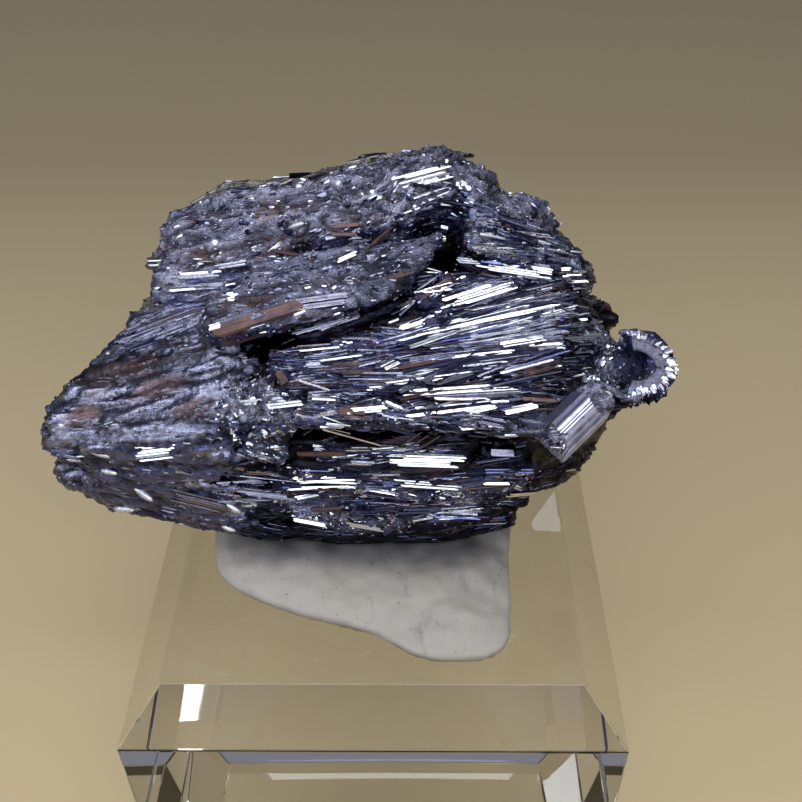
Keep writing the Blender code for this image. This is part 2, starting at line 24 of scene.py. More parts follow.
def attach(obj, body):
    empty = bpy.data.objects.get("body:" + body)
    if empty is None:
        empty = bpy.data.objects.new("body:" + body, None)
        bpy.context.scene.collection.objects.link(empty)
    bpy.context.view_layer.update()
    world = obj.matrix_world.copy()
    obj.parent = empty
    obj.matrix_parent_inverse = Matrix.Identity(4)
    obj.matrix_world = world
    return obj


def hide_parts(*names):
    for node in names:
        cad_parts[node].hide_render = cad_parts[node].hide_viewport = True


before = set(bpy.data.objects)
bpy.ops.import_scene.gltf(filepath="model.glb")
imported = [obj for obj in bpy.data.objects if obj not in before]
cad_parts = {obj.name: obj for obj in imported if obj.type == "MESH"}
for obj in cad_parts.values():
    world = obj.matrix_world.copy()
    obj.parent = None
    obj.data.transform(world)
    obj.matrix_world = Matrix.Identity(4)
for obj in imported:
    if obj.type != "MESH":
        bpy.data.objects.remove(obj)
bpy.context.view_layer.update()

LOG = logging.getLogger("stibnite")
MM = 0.001
UP = Vector((0.0, 0.0, 1.0))
BODY = "root"
TONE = "tone"
GRAIN = "grain"
GROWTH = "growth"
PEBBLE = "pebble"
# Attribute of the painted shadow that darkens the putty near the spray.
SPRAY_SHADOW = "darkening"
WELD = 1e-6
POLISHED = 1.0
WEATHERED = 0.45
TARNISHED = 0.0


# --------------------------------------------------------------------------------------------
# Choices
# --------------------------------------------------------------------------------------------


class Tone(Enum):
    """Colours of the mineral, linear RGB."""

    SILVER = (0.86, 0.88, 0.94)
    STEEL = (0.44, 0.46, 0.60)
    LILAC = (0.30, 0.30, 0.40)
    WORN = (0.22, 0.23, 0.32)
    SLATE = (0.24, 0.23, 0.215)
    INK = (0.06, 0.065, 0.13)
    INDIGO = (0.17, 0.20, 0.46)
    UMBER = (0.15, 0.086, 0.076)
    # Near-black, used mostly as painted shade: in hollows, on undersides and between the fan's
    # needles.
    PITCH = (0.018, 0.018, 0.026)


class Form(Enum):
    """Shapes of a single crystal; the value is the place of the shape among the built forms."""

    NEEDLE = 0
    CHISEL = 1
    LATH = 2
    RIBBED = 3
    SHARD = 4
    CHIP = 5
    BEAD = 6


class Zone(Enum):
    """Parts of the spray that grew in different ways."""

    FAN = "fan"
    CREST = "crest"
    FELT = "felt"
    LIP = "lip"
    LEDGE = "ledge"
    UPPER = "upper"
    RIDGE = "ridge"
    PLATE = "plate"
    LOBE = "lobe"
    FLAP = "flap"
    TIER = "tier"
    CRUST = "crust"
    BACK = "back"
    SHELL = "shell"
    # HOLLOW and UNDER are places of painted shade: their skin and crystals are painted near-black.
    HOLLOW = "hollow"
    GRANULE = "granule"
    UNDER = "under"
    FROST = "frost"


# --------------------------------------------------------------------------------------------
# Where and how the mineral grew
# --------------------------------------------------------------------------------------------


@dataclass(frozen=True)
class Flow:
    """A line along which the crystals near it grew.

    Each end is a place in millimetres, or a pixel of the display view that lands on the solid.
    """

    start: tuple[float, ...]
    end: tuple[float, ...]
    zone: Zone
    reach: float = 1.0


def grown(zone: Zone, *rows: tuple) -> tuple[Flow, ...]:
    """Returns one zone's growth lines from rows of start, end and, unless it is one, reach."""
    return tuple(Flow(start, end, zone, *reach) for start, end, *reach in rows)


@dataclass(frozen=True)
class Habit:
    """How the crystals of a zone grow: sizes in millimetres, angles in degrees."""

    density: float
    length: tuple[float, float]
    width: tuple[float, float]
    flatness: tuple[float, float]
    bundle: tuple[int, int]
    forms: tuple[tuple[Form, float], ...]
    tones: tuple[tuple[Tone, float], ...]
    sway: float = 5.0
    roll: float = 35.0
    rise: tuple[float, float] = (-0.1, 0.35)
    gleam: float = 0.1
    skin: Tone = Tone.INK
    relief: float = 0.25
    stretch: float = 6.0
    pebble: float = 0.05
    grit: float = 1.0
    gleam_form: Form = Form.LATH
    tolerance: float = 4.0
    # Share of painted shade: down-facing skin and steeply facing crystals are darkened by it.
    shade: float = 0.75


@dataclass(frozen=True)
class Stain:
    """A patch of the skin with a tone of its own; places and reach in millimetres."""

    centre: tuple[float, float, float]
    reach: tuple[float, float]
    tone: Tone


STAINS = (
    Stain((-27.4, 2.6, 40.4), (5.6, 2.6), Tone.UMBER),
    Stain((-24.0, 2.0, 41.8), (4.0, 1.8), Tone.UMBER),
    Stain((-22.0, -1.6, 41.6), (5.0, 1.8), Tone.UMBER),
    Stain((-29.6, -1.4, 37.6), (2.6, 1.4), Tone.UMBER),
    Stain((-17.6, -4.8, 41.6), (3.0, 1.2), Tone.UMBER),
    Stain((-12.0, 1.0, 49.3), (4.0, 1.6), Tone.UMBER),
    Stain((-10.2, 14.8, 52.2), (3.2, 1.6), Tone.UMBER),
    Stain((-8.6, 9.2, 50.6), (5.0, 1.4), Tone.UMBER),
    Stain((-17.4, 10.6, 49.0), (2.2, 1.2), Tone.UMBER),
    # Painted shade: a dark ink patch on the lower part of the overhanging flap.
    Stain((-12.8, -7.6, 41.4), (4.4, 1.6), Tone.INK),
)

FLOWS = (
    *grown(Zone.FELT, ((300, 352), (400, 340)), ((300, 372), (3.6, -3.8, 46.4)),
        ((300, 392), (4.0, -8.2, 47.0))),
    *grown(Zone.FAN, ((400, 345), (470, 325))),
    *grown(Zone.CREST, ((405, 310), (450, 280)), ((430, 334), (548, 310)),
        ((456, 307), (515, 288)), ((8.8, 4.6, 49.6), (19.2, 9.0, 48.6))),
    *grown(Zone.FAN, ((480, 330), (21.6, 4.8, 46.4)), ((453, 359), (560, 345)),
        ((490, 378), (21.8, -0.4, 44.8)), ((470, 392), (19.6, -4.2, 44.8)),
        ((399, 394), (480, 374)), ((402, 404), (470, 392)), ((480, 402), (560, 398))),
    *grown(Zone.LIP, ((-7, -10.8, 45.8), (4.6, -11.8, 47.0)),
        ((3, -11.9, 47), (15.4, -10.6, 44.4))),
    *grown(Zone.LEDGE, ((-15.8, -1.4, 48), (0.4, 2.4, 50.2)),
        ((-15.4, 2.6, 49.6), (7, 8.0, 51.6)), ((-13, 6.6, 50), (8, 10.4, 52))),
    *grown(Zone.UPPER, ((-22.8, 9.4, 46.4), (-10, 8.8, 49.6)), ((-21, 13.4, 48.4), (-4, 12, 52)),
        ((-19.6, 18, 49.6), (0, 17, 54)), ((-9, 10, 51.2), (2, 17, 54.4)),
        ((0, 9, 51.6), (5, 17, 55))),
    *grown(Zone.CRUST, ((1, 20, 55), (10, 21, 55))),
    *grown(Zone.RIDGE, ((6, 9.4, 51.6), (22.6, 12, 47.4)), ((5.6, 12.6, 52.9), (22.4, 13, 47.4))),
    *grown(Zone.CRUST, ((8.6, 17.0, 54), (20.6, 16.2, 47.6))),
    *grown(Zone.PLATE, ((-27.6, 7.6, 40.8), (-15, 5.6, 46.8))),
    *grown(Zone.LOBE, ((100, 362), (200, 345)), ((75, 390), (215, 368)), ((55, 420), (215, 395)),
        ((50, 432), (-14.0, -7.4, 41.0)), ((50, 445), (-13.7, -8.5, 38.6)),
        ((-33.0, -2.6, 33.2), (-13.6, -8.4, 35.0)), ((65, 475), (240, 508)),
        ((90, 492), (250, 530))),
    *grown(Zone.FLAP, ((-13.4, -7.6, 44), (-6.6, -11, 44.6)),
        ((-14, -7.6, 40), (-7.6, -10.4, 40.6))),
    *grown(Zone.TIER, ((-8, -9.8, 40.6), (12, -10, 40.6)), ((-8.6, -9.8, 36.6), (15.4, -9, 36.6)),
        ((-12.4, -8.6, 32), (14.8, -7.6, 32))),
    *grown(Zone.UNDER, ((-13.6, -7.2, 27.2), (14.2, -6.4, 27.2)),
        ((15, -7.2, 40.2), (23.2, -2.2, 39.6)), ((15, -5.8, 33), (21.6, -2, 31))),
    *grown(Zone.GRANULE, ((-6.6, -10.3, 37.2), (2.7, -9.9, 35.5)),
        ((2.7, -8.9, 33.8), (9.6, -8.1, 32.6)), ((460, 488), (13.8, -8.4, 34.0)),
        ((330, 516), (2.7, -9.2, 30.4)), ((290, 500), (-3.2, -9.0, 32.4))),
    *grown(Zone.FROST, ((-13.8, -5.8, 42.9), (-8.8, -8.2, 44.8), 0.9),
        ((-12.6, -7.4, 42.4), (-8.2, -9.6, 43.8), 0.9)),
    *grown(Zone.UNDER, ((14.6, 11.8, 50.2), (20.5, 12.2, 46.8), 0.7)),
    *grown(Zone.FROST, ((607, 340), (23.0, 2.2, 42.7), 0.9),
        ((23.0, 2.2, 42.7), (22.8, 1.2, 41.8), 0.9), ((626, 340), (607, 357), 0.7),
        ((19.8, -7.6, 46.7), (21.4, -8.0, 46.2), 0.6),
        ((21.4, -7.4, 45.8), (23.1, -2.6, 42.0), 0.8), ((607, 357), (600, 376), 0.7),
        ((600, 376), (21.0, -3.6, 43.6), 0.7)),
    *grown(Zone.HOLLOW, ((20.2, 6.4, 44.4), (25.8, 9, 42.6)), ((-6, -8.4, 43.2), (13, -8, 42.2)),
        ((-4, 1.0, 46.8), (3.2, 4.4, 48.2)), ((-5.4, 0.5, 46.3), (2.9, 2.5, 47.4), 1.5),
        ((5.3, 9.4, 48.6), (7.6, 18, 46), 0.5), ((-14.0, -8.2, 37.6), (-6.6, -10.0, 38.2), 0.4),
        ((-6.5, -8.2, 41.8), (15.5, -7.9, 40.8), 2.1),
        ((-6.1, -9.4, 40.6), (-3.9, -9.6, 40.6), 0.7),
        ((-6.8, -9.2, 38.6), (-4.0, -9.4, 38.6), 0.7), ((14.4, -7.4, 41.0), (22, -3, 38.4)),
        ((-7.6, -9.2, 38.9), (11, -9.4, 38.8), 0.35),
        ((-10, -8.8, 34.2), (14.6, -8.2, 34.2), 0.3), ((-13, -7.8, 29.8), (14, -7.0, 29.9), 0.3),
        ((-11, -6.4, 25.6), (12, -5.6, 25.2), 0.8)),
    *grown(Zone.SHELL, ((23.6, 3.0, 42), (28.8, 0.6, 43))),
    *grown(Zone.BACK, ((-4.6, 23, 52.4), (11.4, 24, 53)), ((-19.6, 23, 48.6), (5, 25, 51.6)),
        ((-17.4, 30, 44.4), (10, 31, 45.6)), ((5.4, 27, 48), (20.4, 24, 45)),
        ((-16.8, 32, 40), (13.4, 34, 40)), ((-14, 32, 35), (13, 35, 35)),
        ((-13, 28, 30), (15, 29, 30)), ((-24, 12, 44), (-19, 31, 41)),
        ((-23.6, 9.6, 36), (-15.6, 29, 36)), ((-26, 8.8, 33), (-15, 28, 31)),
        ((23.8, 4, 38), (19, 27, 38)), ((23.2, 3, 31), (18.4, 27, 31)),
        ((22.6, 11, 45), (15.4, 27.8, 45)), ((-12, 2, 23), (12, 4, 23)),
        ((-14, 20, 25), (14, 20, 25))),
)

NEEDLE_MIX = ((Form.NEEDLE, 5), (Form.CHISEL, 3), (Form.LATH, 2), (Form.RIBBED, 1))
GRAIN_MIX = ((Form.SHARD, 3), (Form.CHIP, 3), (Form.CHISEL, 1))

HABITS = {
    Zone.FAN: Habit(
        0.55, (4.5, 12.0), (0.12, 0.32), (0.5, 1.0), (5, 12), NEEDLE_MIX,
        ((Tone.STEEL, 5), (Tone.SILVER, 1), (Tone.INK, 8), (Tone.INDIGO, 1.0), (Tone.UMBER, 0.8)),
        # The skin between the needles is near-black pitch: painted shade in the gaps.
        sway=3.5, roll=26.0, rise=(-0.15, 0.30), gleam=0.11, skin=Tone.PITCH, relief=0.35,
        stretch=9.0, grit=0.6),
    Zone.CREST: Habit(
        0.58, (4.5, 12.0), (0.12, 0.34), (0.5, 1.0), (5, 12), NEEDLE_MIX,
        ((Tone.STEEL, 7), (Tone.SILVER, 3), (Tone.INK, 4), (Tone.INDIGO, 0.8), (Tone.UMBER, 0.8)),
        sway=3.5, roll=22.0, rise=(-0.15, 0.30), gleam=0.18, skin=Tone.INK, relief=0.35,
        stretch=9.0, grit=0.6),
    Zone.FELT: Habit(
        0.95, (1.4, 5.0), (0.07, 0.19), (0.5, 1.0), (4, 10), NEEDLE_MIX,
        ((Tone.STEEL, 4), (Tone.LILAC, 3), (Tone.INK, 8), (Tone.INDIGO, 0.7), (Tone.UMBER, 2.4)),
        sway=6.0, roll=32.0, rise=(-0.12, 0.2), gleam=0.018, skin=Tone.INK, relief=0.35,
        stretch=7.0, pebble=0.12, grit=1.6),
    Zone.LIP: Habit(
        1.0, (0.6, 2.8), (0.10, 0.32), (0.5, 1.0), (3, 8), NEEDLE_MIX + GRAIN_MIX,
        ((Tone.STEEL, 5), (Tone.SILVER, 2), (Tone.INK, 5), (Tone.UMBER, 0.6)),
        sway=9.0, roll=40.0, gleam=0.028, skin=Tone.WORN, relief=0.3, stretch=3.0,
        pebble=0.10, grit=3.0),
    Zone.LEDGE: Habit(
        0.7, (0.4, 1.6), (0.12, 0.34), (0.5, 1.0), (1, 4), GRAIN_MIX + ((Form.LATH, 2),),
        ((Tone.LILAC, 6), (Tone.STEEL, 3), (Tone.INK, 6), (Tone.UMBER, 1.0)),
        sway=9.0, roll=34.0, rise=(-0.16, -0.02), gleam=0.10, skin=Tone.WORN, relief=0.34,
        stretch=3.4, pebble=0.16, grit=6.0),
    Zone.UPPER: Habit(
        0.42, (0.4, 1.8), (0.22, 0.7), (0.5, 1.0), (1, 3), ((Form.BEAD, 7), (Form.CHISEL, 2)),
        ((Tone.STEEL, 4), (Tone.LILAC, 5), (Tone.INK, 3), (Tone.UMBER, 2), (Tone.SILVER, 1)),
        sway=7.0, roll=40.0, rise=(-0.25, 0.0), gleam=0.16, skin=Tone.LILAC, relief=0.55,
        stretch=3.5, pebble=0.12, grit=2.4, gleam_form=Form.BEAD, tolerance=20.0),
    Zone.RIDGE: Habit(
        0.60, (2.0, 7.0), (0.16, 0.5), (0.4, 0.9), (3, 9), NEEDLE_MIX,
        ((Tone.STEEL, 5), (Tone.SILVER, 2), (Tone.INK, 6), (Tone.UMBER, 0.6), (Tone.INDIGO, 0.6)),
        sway=5.0, roll=26.0, rise=(-0.2, 0.10), gleam=0.07, skin=Tone.WORN, relief=0.45,
        pebble=0.08, grit=1.6),
    Zone.PLATE: Habit(
        0.5, (3.0, 8.0), (0.2, 0.5), (0.3, 0.6), (5, 10), ((Form.RIBBED, 3), (Form.LATH, 2)),
        ((Tone.STEEL, 5), (Tone.INDIGO, 1), (Tone.LILAC, 4)),
        sway=2.0, roll=8.0, rise=(-0.2, 0.0), gleam=0.04, skin=Tone.LILAC, relief=0.15,
        stretch=9.0, grit=0.3),
    Zone.LOBE: Habit(
        0.42, (0.6, 2.8), (0.16, 0.44), (0.4, 0.8), (1, 3), ((Form.BEAD, 5), (Form.CHISEL, 1)),
        ((Tone.LILAC, 6), (Tone.STEEL, 4), (Tone.UMBER, 0.6)),
        sway=5.0, roll=22.0, rise=(-0.22, -0.06), gleam=0.22, skin=Tone.LILAC, relief=0.50,
        stretch=5.5, pebble=0.045, grit=0.5, gleam_form=Form.BEAD, tolerance=20.0),
    Zone.FLAP: Habit(
        1.5, (0.3, 1.3), (0.09, 0.26), (0.5, 1.0), (2, 6), GRAIN_MIX + ((Form.LATH, 1),),
        ((Tone.STEEL, 5), (Tone.SILVER, 3), (Tone.LILAC, 4), (Tone.INK, 4)),
        sway=10.0, roll=40.0, rise=(-0.14, 0.06), gleam=0.2, skin=Tone.LILAC, relief=0.46,
        stretch=2.6, pebble=0.20, grit=6.0, gleam_form=Form.SHARD,
        tolerance=14.0),
    Zone.TIER: Habit(
        0.75, (1.8, 8.0), (0.09, 0.28), (0.4, 0.9), (3, 10), NEEDLE_MIX,
        ((Tone.STEEL, 6), (Tone.SILVER, 1), (Tone.INK, 5), (Tone.INDIGO, 1.6), (Tone.UMBER, 1.0)),
        sway=4.5, roll=26.0, rise=(-0.2, 0.22), gleam=0.045, skin=Tone.INK, relief=0.6,
        stretch=7.0, pebble=0.10, grit=1.2),
    Zone.GRANULE: Habit(
        1.0, (0.2, 0.9), (0.08, 0.24), (0.5, 1.0), (2, 6), GRAIN_MIX,
        ((Tone.STEEL, 6), (Tone.SILVER, 5), (Tone.INK, 3), (Tone.UMBER, 1.2)),
        sway=28.0, roll=60.0, rise=(-0.12, 0.06), gleam=0.22, skin=Tone.LILAC, relief=0.5,
        stretch=1.8, pebble=0.16, grit=5.0, gleam_form=Form.SHARD, tolerance=14.0),
    # Painted shade: undersides and shaded nooks get near-black pitch skin and mostly dark
    # crystals.
    Zone.UNDER: Habit(
        0.5, (0.8, 4.5), (0.10, 0.28), (0.5, 1.0), (2, 6), NEEDLE_MIX,
        ((Tone.PITCH, 5), (Tone.INK, 4), (Tone.UMBER, 1.5), (Tone.LILAC, 1)),
        sway=12.0, roll=45.0, rise=(-0.2, 0.1), gleam=0.02, skin=Tone.PITCH, relief=0.55,
        pebble=0.10, grit=0.6),
    Zone.FROST: Habit(
        1.6, (0.25, 0.8), (0.12, 0.30), (0.6, 1.0), (2, 5), GRAIN_MIX,
        ((Tone.STEEL, 5), (Tone.SILVER, 3), (Tone.LILAC, 4), (Tone.INK, 2)),
        sway=30.0, roll=60.0, rise=(-0.1, 0.15), gleam=0.32, skin=Tone.STEEL, relief=0.3,
        stretch=1.5, pebble=0.16, grit=5.0, gleam_form=Form.SHARD, tolerance=14.0),
    Zone.CRUST: Habit(
        0.6, (0.3, 1.3), (0.2, 0.6), (0.6, 1.0), (2, 5), GRAIN_MIX + ((Form.BEAD, 4),),
        ((Tone.LILAC, 6), (Tone.STEEL, 4), (Tone.INK, 3), (Tone.SILVER, 1)),
        sway=40.0, roll=80.0, rise=(-0.25, 0.0), gleam=0.2, skin=Tone.LILAC, relief=0.6,
        stretch=1.4, pebble=0.20, grit=1.8, gleam_form=Form.BEAD, tolerance=20.0),
    Zone.SHELL: Habit(
        0.9, (0.2, 0.6), (0.12, 0.3), (0.6, 1.0), (2, 5), GRAIN_MIX,
        ((Tone.INK, 6), (Tone.STEEL, 2), (Tone.INDIGO, 0.6)),
        sway=40.0, roll=90.0, rise=(-0.2, 0.0), gleam=0.04, skin=Tone.INK, relief=0.12,
        stretch=1.0, pebble=0.14, grit=5.0),
    # Painted shade: the hollows' skin and crystals are near-black pitch and ink, with no bright
    # facets.
    Zone.HOLLOW: Habit(
        0.4, (0.8, 3.5), (0.10, 0.28), (0.5, 1.0), (1, 4), NEEDLE_MIX,
        ((Tone.PITCH, 6), (Tone.INK, 3), (Tone.UMBER, 1.5)),
        sway=14.0, roll=50.0, rise=(-0.2, 0.0), gleam=0.0, skin=Tone.PITCH, relief=0.2, grit=0.4),
    Zone.BACK: Habit(
        0.17, (1.4, 6.0), (0.24, 0.75), (0.4, 0.9), (3, 7), NEEDLE_MIX + ((Form.CHIP, 1.5),),
        ((Tone.STEEL, 2), (Tone.SLATE, 9), (Tone.PITCH, 4), (Tone.UMBER, 2)),
        sway=7.0, roll=32.0, rise=(-0.2, 0.15), gleam=0.0, skin=Tone.SLATE, relief=0.55,
        stretch=6.0, pebble=0.14, grit=0.5, shade=0.0),
}


class Mark(Enum):
    """Kinds of single crystals that stand out."""

    GLINT = "bright facet"
    KNOB = "bright worn bump"
    BROWN = "tarnished brown"
    BLUE = "tarnished blue"
    GREY = "dull grey"
    NEEDLE = "thin pale needle"
    DARK = "dark needle"


@dataclass(frozen=True)
class Landmark:
    """A crystal that stands out, from one pixel of the display view to another."""

    start: tuple[float, float]
    end: tuple[float, float]
    width: float
    mark: Mark = Mark.GLINT
    strips: int = 1
    lift: float = 0.25


def marked(mark: Mark, *rows: tuple) -> tuple[Landmark, ...]:
    """Returns landmarks of one kind from rows of start, end, width, strips and lift."""
    return tuple(Landmark(start, end, width, mark, *rest) for start, end, width, *rest in rows)


# Main fan.
FAN_MARKS = (
    *marked(Mark.GLINT, ((456, 307), (511, 290), 0.9, 3, 0.5),
        ((498, 276), (562, 271), 1, 3, 0.4), ((430, 334), (548, 310), 0.42, 2, 0.5),
        ((413, 349), (459, 333), 0.4, 1, 0.5), ((497, 349), (540, 342), 0.6, 2, 0.5),
        ((453, 359), (512, 353), 0.35, 1, 0.5), ((470, 341), (520, 333), 0.3, 1, 0.5),
        ((399, 394), (433, 379), 0.55, 1, 0.6), ((438, 386), (474, 375), 0.35, 1, 0.5),
        ((499, 378), (552, 364), 0.32, 1, 0.5), ((480, 392), (560, 374), 0.28, 1, 0.4),
        ((540, 382), (568, 380), 0.3, 1, 0.4), ((383, 373), (397, 366), 0.8, 1, 0.6)),
    *marked(Mark.NEEDLE, ((300, 383), (331, 393), 0.25, 1, 0.5)),
    *marked(Mark.GLINT, ((311, 398), (334, 399), 0.4, 1, 0.4),
        ((573, 328), (597, 322), 0.6, 2, 0.3), ((540, 318), (575, 309), 0.4, 2, 0.3),
        ((470, 300), (498, 292), 0.3, 1, 0.3), ((420, 322), (452, 315), 0.3, 1, 0.4)),
    *marked(Mark.BROWN, ((397, 371), (434, 364), 0.4, 1, 0.5),
        ((402, 402), (443, 394), 0.45, 2, 0.4), ((520, 400), (556, 402), 0.4, 1, 0.3),
        ((405, 306), (450, 280), 0.5, 2, 0.3), ((425, 300), (462, 277), 0.5, 2, 0.2),
        ((340, 376), (372, 374), 0.35, 1, 0.3)),
    *marked(Mark.BLUE, ((505, 372), (568, 352), 0.3, 1, 0.4),
        ((440, 345), (470, 340), 0.3, 1, 0.4)),
    *marked(Mark.NEEDLE, ((300, 352), (340, 348), 0.3, 1, 0.3),
        ((320, 362), (362, 356), 0.3, 1, 0.3)),
)

# Lip.
LIP_MARKS = (
    *marked(Mark.GLINT, ((459, 427), (493, 423), 0.5, 2, 0.2),
        ((466, 414), (493, 408), 0.5, 2, 0.3), ((504, 414), (536, 407), 0.6, 2, 0.3),
        ((349, 413), (383, 410), 0.6, 2, 0.3), ((384, 404), (400, 411), 0.4, 1, 0.3)),
)

# Bright patch of the flap.
FLAP_MARKS = (
    *marked(Mark.GLINT, ((240, 404), (283, 400), 0.5, 2, 0.2),
        ((270, 408), (305, 404), 0.5, 2, 0.2)),
)

# Slabs under the flap.
SLAB_MARKS = (
    *marked(Mark.GREY, ((216, 487), (262, 484), 0.9, 4, 0.2),
        ((240, 491), (290, 497), 0.9, 3, 0.3)),
    *marked(Mark.BROWN, ((248, 472), (292, 474), 0.4, 2, 0.5)),
)

# Hollow under the lip.
HOLLOW_MARKS = (
    *marked(Mark.NEEDLE, ((326, 426), (384, 442), 0.18, 1, 1.4),
        ((316, 431), (352, 440), 0.14, 1, 1)),
    *marked(Mark.BROWN, ((404, 443), (424, 429), 0.16, 1, 0.9),
        ((410, 444), (432, 430), 0.16, 1, 0.8), ((418, 444), (438, 431), 0.14, 1, 0.9)),
    *marked(Mark.GLINT, ((303, 440), (313, 433), 0.3, 1, 0.8),
        ((323, 443), (337, 437), 0.3, 1, 0.8)),
)

# Tiers.
TIER_MARKS = (
    *marked(Mark.GLINT, ((348, 450), (374, 450), 0.5, 1, 0.5),
        ((349, 459), (373, 460), 0.5, 1, 0.5), ((375, 449), (396, 447), 0.35, 1, 0.5),
        ((397, 455), (457, 457), 1.25, 5, 0.7)),
    *marked(Mark.BROWN, ((297, 452), (346, 452), 0.6, 1, 0.5)),
    *marked(Mark.GREY, ((491, 452), (514, 453), 1, 1, 0.5)),
    *marked(Mark.BLUE, ((481, 469), (528, 469), 0.6, 2, 0.4),
        ((481, 475), (528, 475), 0.4, 1, 0.4)),
    *marked(Mark.GLINT, ((482, 484), (508, 484), 0.3, 1, 0.4),
        ((504, 493), (530, 491), 0.5, 1, 0.4), ((441, 491), (458, 490), 0.4, 1, 0.4),
        ((399, 479), (456, 483), 0.6, 3, 0.4), ((299, 497), (320, 493), 0.42, 1, 0.5)),
    *marked(Mark.BROWN, ((310, 509), (340, 507), 0.5, 1, 0.3),
        ((312, 486), (358, 493), 0.4, 2, 0.3)),
    *marked(Mark.BLUE, ((402, 510), (436, 509), 0.6, 2, 0.3)),
    *marked(Mark.GLINT, ((295, 516), (327, 522), 0.6, 2, 0.3)),
    *marked(Mark.BLUE, ((440, 516), (485, 518), 0.5, 2, 0.3)),
    *marked(Mark.GLINT, ((345, 522), (380, 528), 0.5, 2, 0.2)),
)

# Worn lobe.
LOBE_MARKS = (
    *marked(Mark.KNOB, ((118, 340), (144, 337), 0.5), ((104, 353), (113, 352), 0.4),
        ((149, 401), (164, 399), 0.4), ((177, 401), (205, 403), 0.6),
        ((196, 390), (219, 396), 0.4), ((129, 437), (147, 436), 0.5)),
    *marked(Mark.GLINT, ((139, 453), (172, 449), 1.5, 4, 0.15)),
    *marked(Mark.KNOB, ((87, 434), (97, 435), 0.4), ((70, 443), (84, 449), 0.5),
        ((58, 424), (65, 426), 0.4), ((89, 452), (112, 458), 0.5), ((122, 457), (133, 458), 0.4),
        ((143, 468), (164, 468), 0.4), ((173, 472), (193, 470), 0.5),
        ((170, 481), (202, 479), 0.4), ((93, 487), (116, 490), 0.5),
        ((133, 487), (154, 499), 0.7), ((112, 508), (139, 510), 0.9)),
    *marked(Mark.GREY, ((179, 495), (229, 507), 1.4, 5, 0.15)),
    *marked(Mark.KNOB, ((223, 503), (240, 512), 0.7), ((221, 526), (233, 530), 0.5),
        ((100, 470), (120, 474), 0.4), ((60, 462), (70, 468), 0.4)),
)

# Ledge.
LEDGE_MARKS = (
    *marked(Mark.BROWN, ((214, 334), (303, 305), 1.25, 1, 0.12),
        ((224, 343), (312, 315), 0.9, 1, 0.1)),
    *marked(Mark.GREY, ((294, 306), (346, 299), 1.5, 2, 0),
        ((300, 331), (353, 315), 1.6, 6, 0.15)),
    *marked(Mark.BROWN, ((446, 292), (492, 270), 0.8, 3, 0.3),
        ((452, 283), (478, 272), 0.5, 2, 0.4)),
    *marked(Mark.GLINT, ((211, 329), (222, 326), 0.6, 1, 0.4)),
    *marked(Mark.NEEDLE, ((322, 331), (352, 319), 0.4, 2, 0.3)),
    *marked(Mark.GREY, ((262, 354), (279, 384), 1.5, 1, 0.7)),
    *marked(Mark.BROWN, ((279, 372), (286, 384), 0.9, 1, 0.7)),
)

# Upper block and crown.
CROWN_MARKS = (
    *marked(Mark.GLINT, ((156, 264), (211, 262), 0.7, 3, 0.3),
        ((176, 278), (217, 275), 0.7, 3, 0.3), ((174, 288), (199, 286), 0.5, 2, 0.3),
        ((225, 268), (287, 258), 0.45, 2, 0.3), ((239, 262), (254, 259), 0.6, 1, 0.4),
        ((340, 261), (358, 253), 0.45, 1, 0.5)),
    *marked(Mark.KNOB, ((168, 241), (179, 241), 0.8), ((204, 224), (211, 222), 0.6),
        ((211, 243), (220, 241), 0.8), ((199, 249), (207, 247), 0.7),
        ((286, 228), (307, 224), 0.6), ((330, 216), (343, 215), 0.7),
        ((217, 207), (226, 205), 0.8), ((295, 187), (303, 185), 0.8),
        ((313, 184), (324, 183), 0.7), ((335, 184), (342, 184), 0.7),
        ((351, 189), (361, 187), 0.8), ((389, 179), (397, 177), 0.7)),
    *marked(Mark.GLINT, ((400, 185), (446, 173), 1.7, 2, 0.3)),
    *marked(Mark.BROWN, ((367, 248), (391, 227), 0.8, 2, 0.3),
        ((334, 228), (360, 225), 0.4, 1, 0.3), ((332, 235), (358, 235), 0.4, 1, 0.3),
        ((284, 238), (320, 251), 0.5, 2, 0.3), ((274, 250), (316, 258), 0.4, 1, 0.3)),
    *marked(Mark.KNOB, ((367, 198), (379, 201), 0.9)),
)

# Ridge.
RIDGE_MARKS = (
    *marked(Mark.KNOB, ((457, 230), (470, 233), 0.7), ((458, 246), (482, 248), 0.7)),
    *marked(Mark.GLINT, ((458, 260), (480, 262), 0.6, 2, 0.3),
        ((482, 264), (545, 273), 1.1, 3, 0.4)),
    *marked(Mark.BLUE, ((482, 259), (505, 262), 0.4, 1, 0.3)),
    *marked(Mark.DARK, ((524, 288), (592, 280), 0.9, 4, 0.3)),
    *marked(Mark.GLINT, ((455, 262), (500, 257), 0.4, 1, 0.3)),
)

# Bluish plate.
PLATE_MARKS = (
    *marked(Mark.GREY, ((134, 333), (190, 312), 0.8, 4, 0.1),
        ((140, 326), (176, 312), 0.5, 3, 0.1)),
)

LANDMARKS = (FAN_MARKS + LIP_MARKS + FLAP_MARKS + SLAB_MARKS + HOLLOW_MARKS + TIER_MARKS
             + LOBE_MARKS + LEDGE_MARKS + CROWN_MARKS + RIDGE_MARKS + PLATE_MARKS)


# --------------------------------------------------------------------------------------------
# Finishes
# --------------------------------------------------------------------------------------------


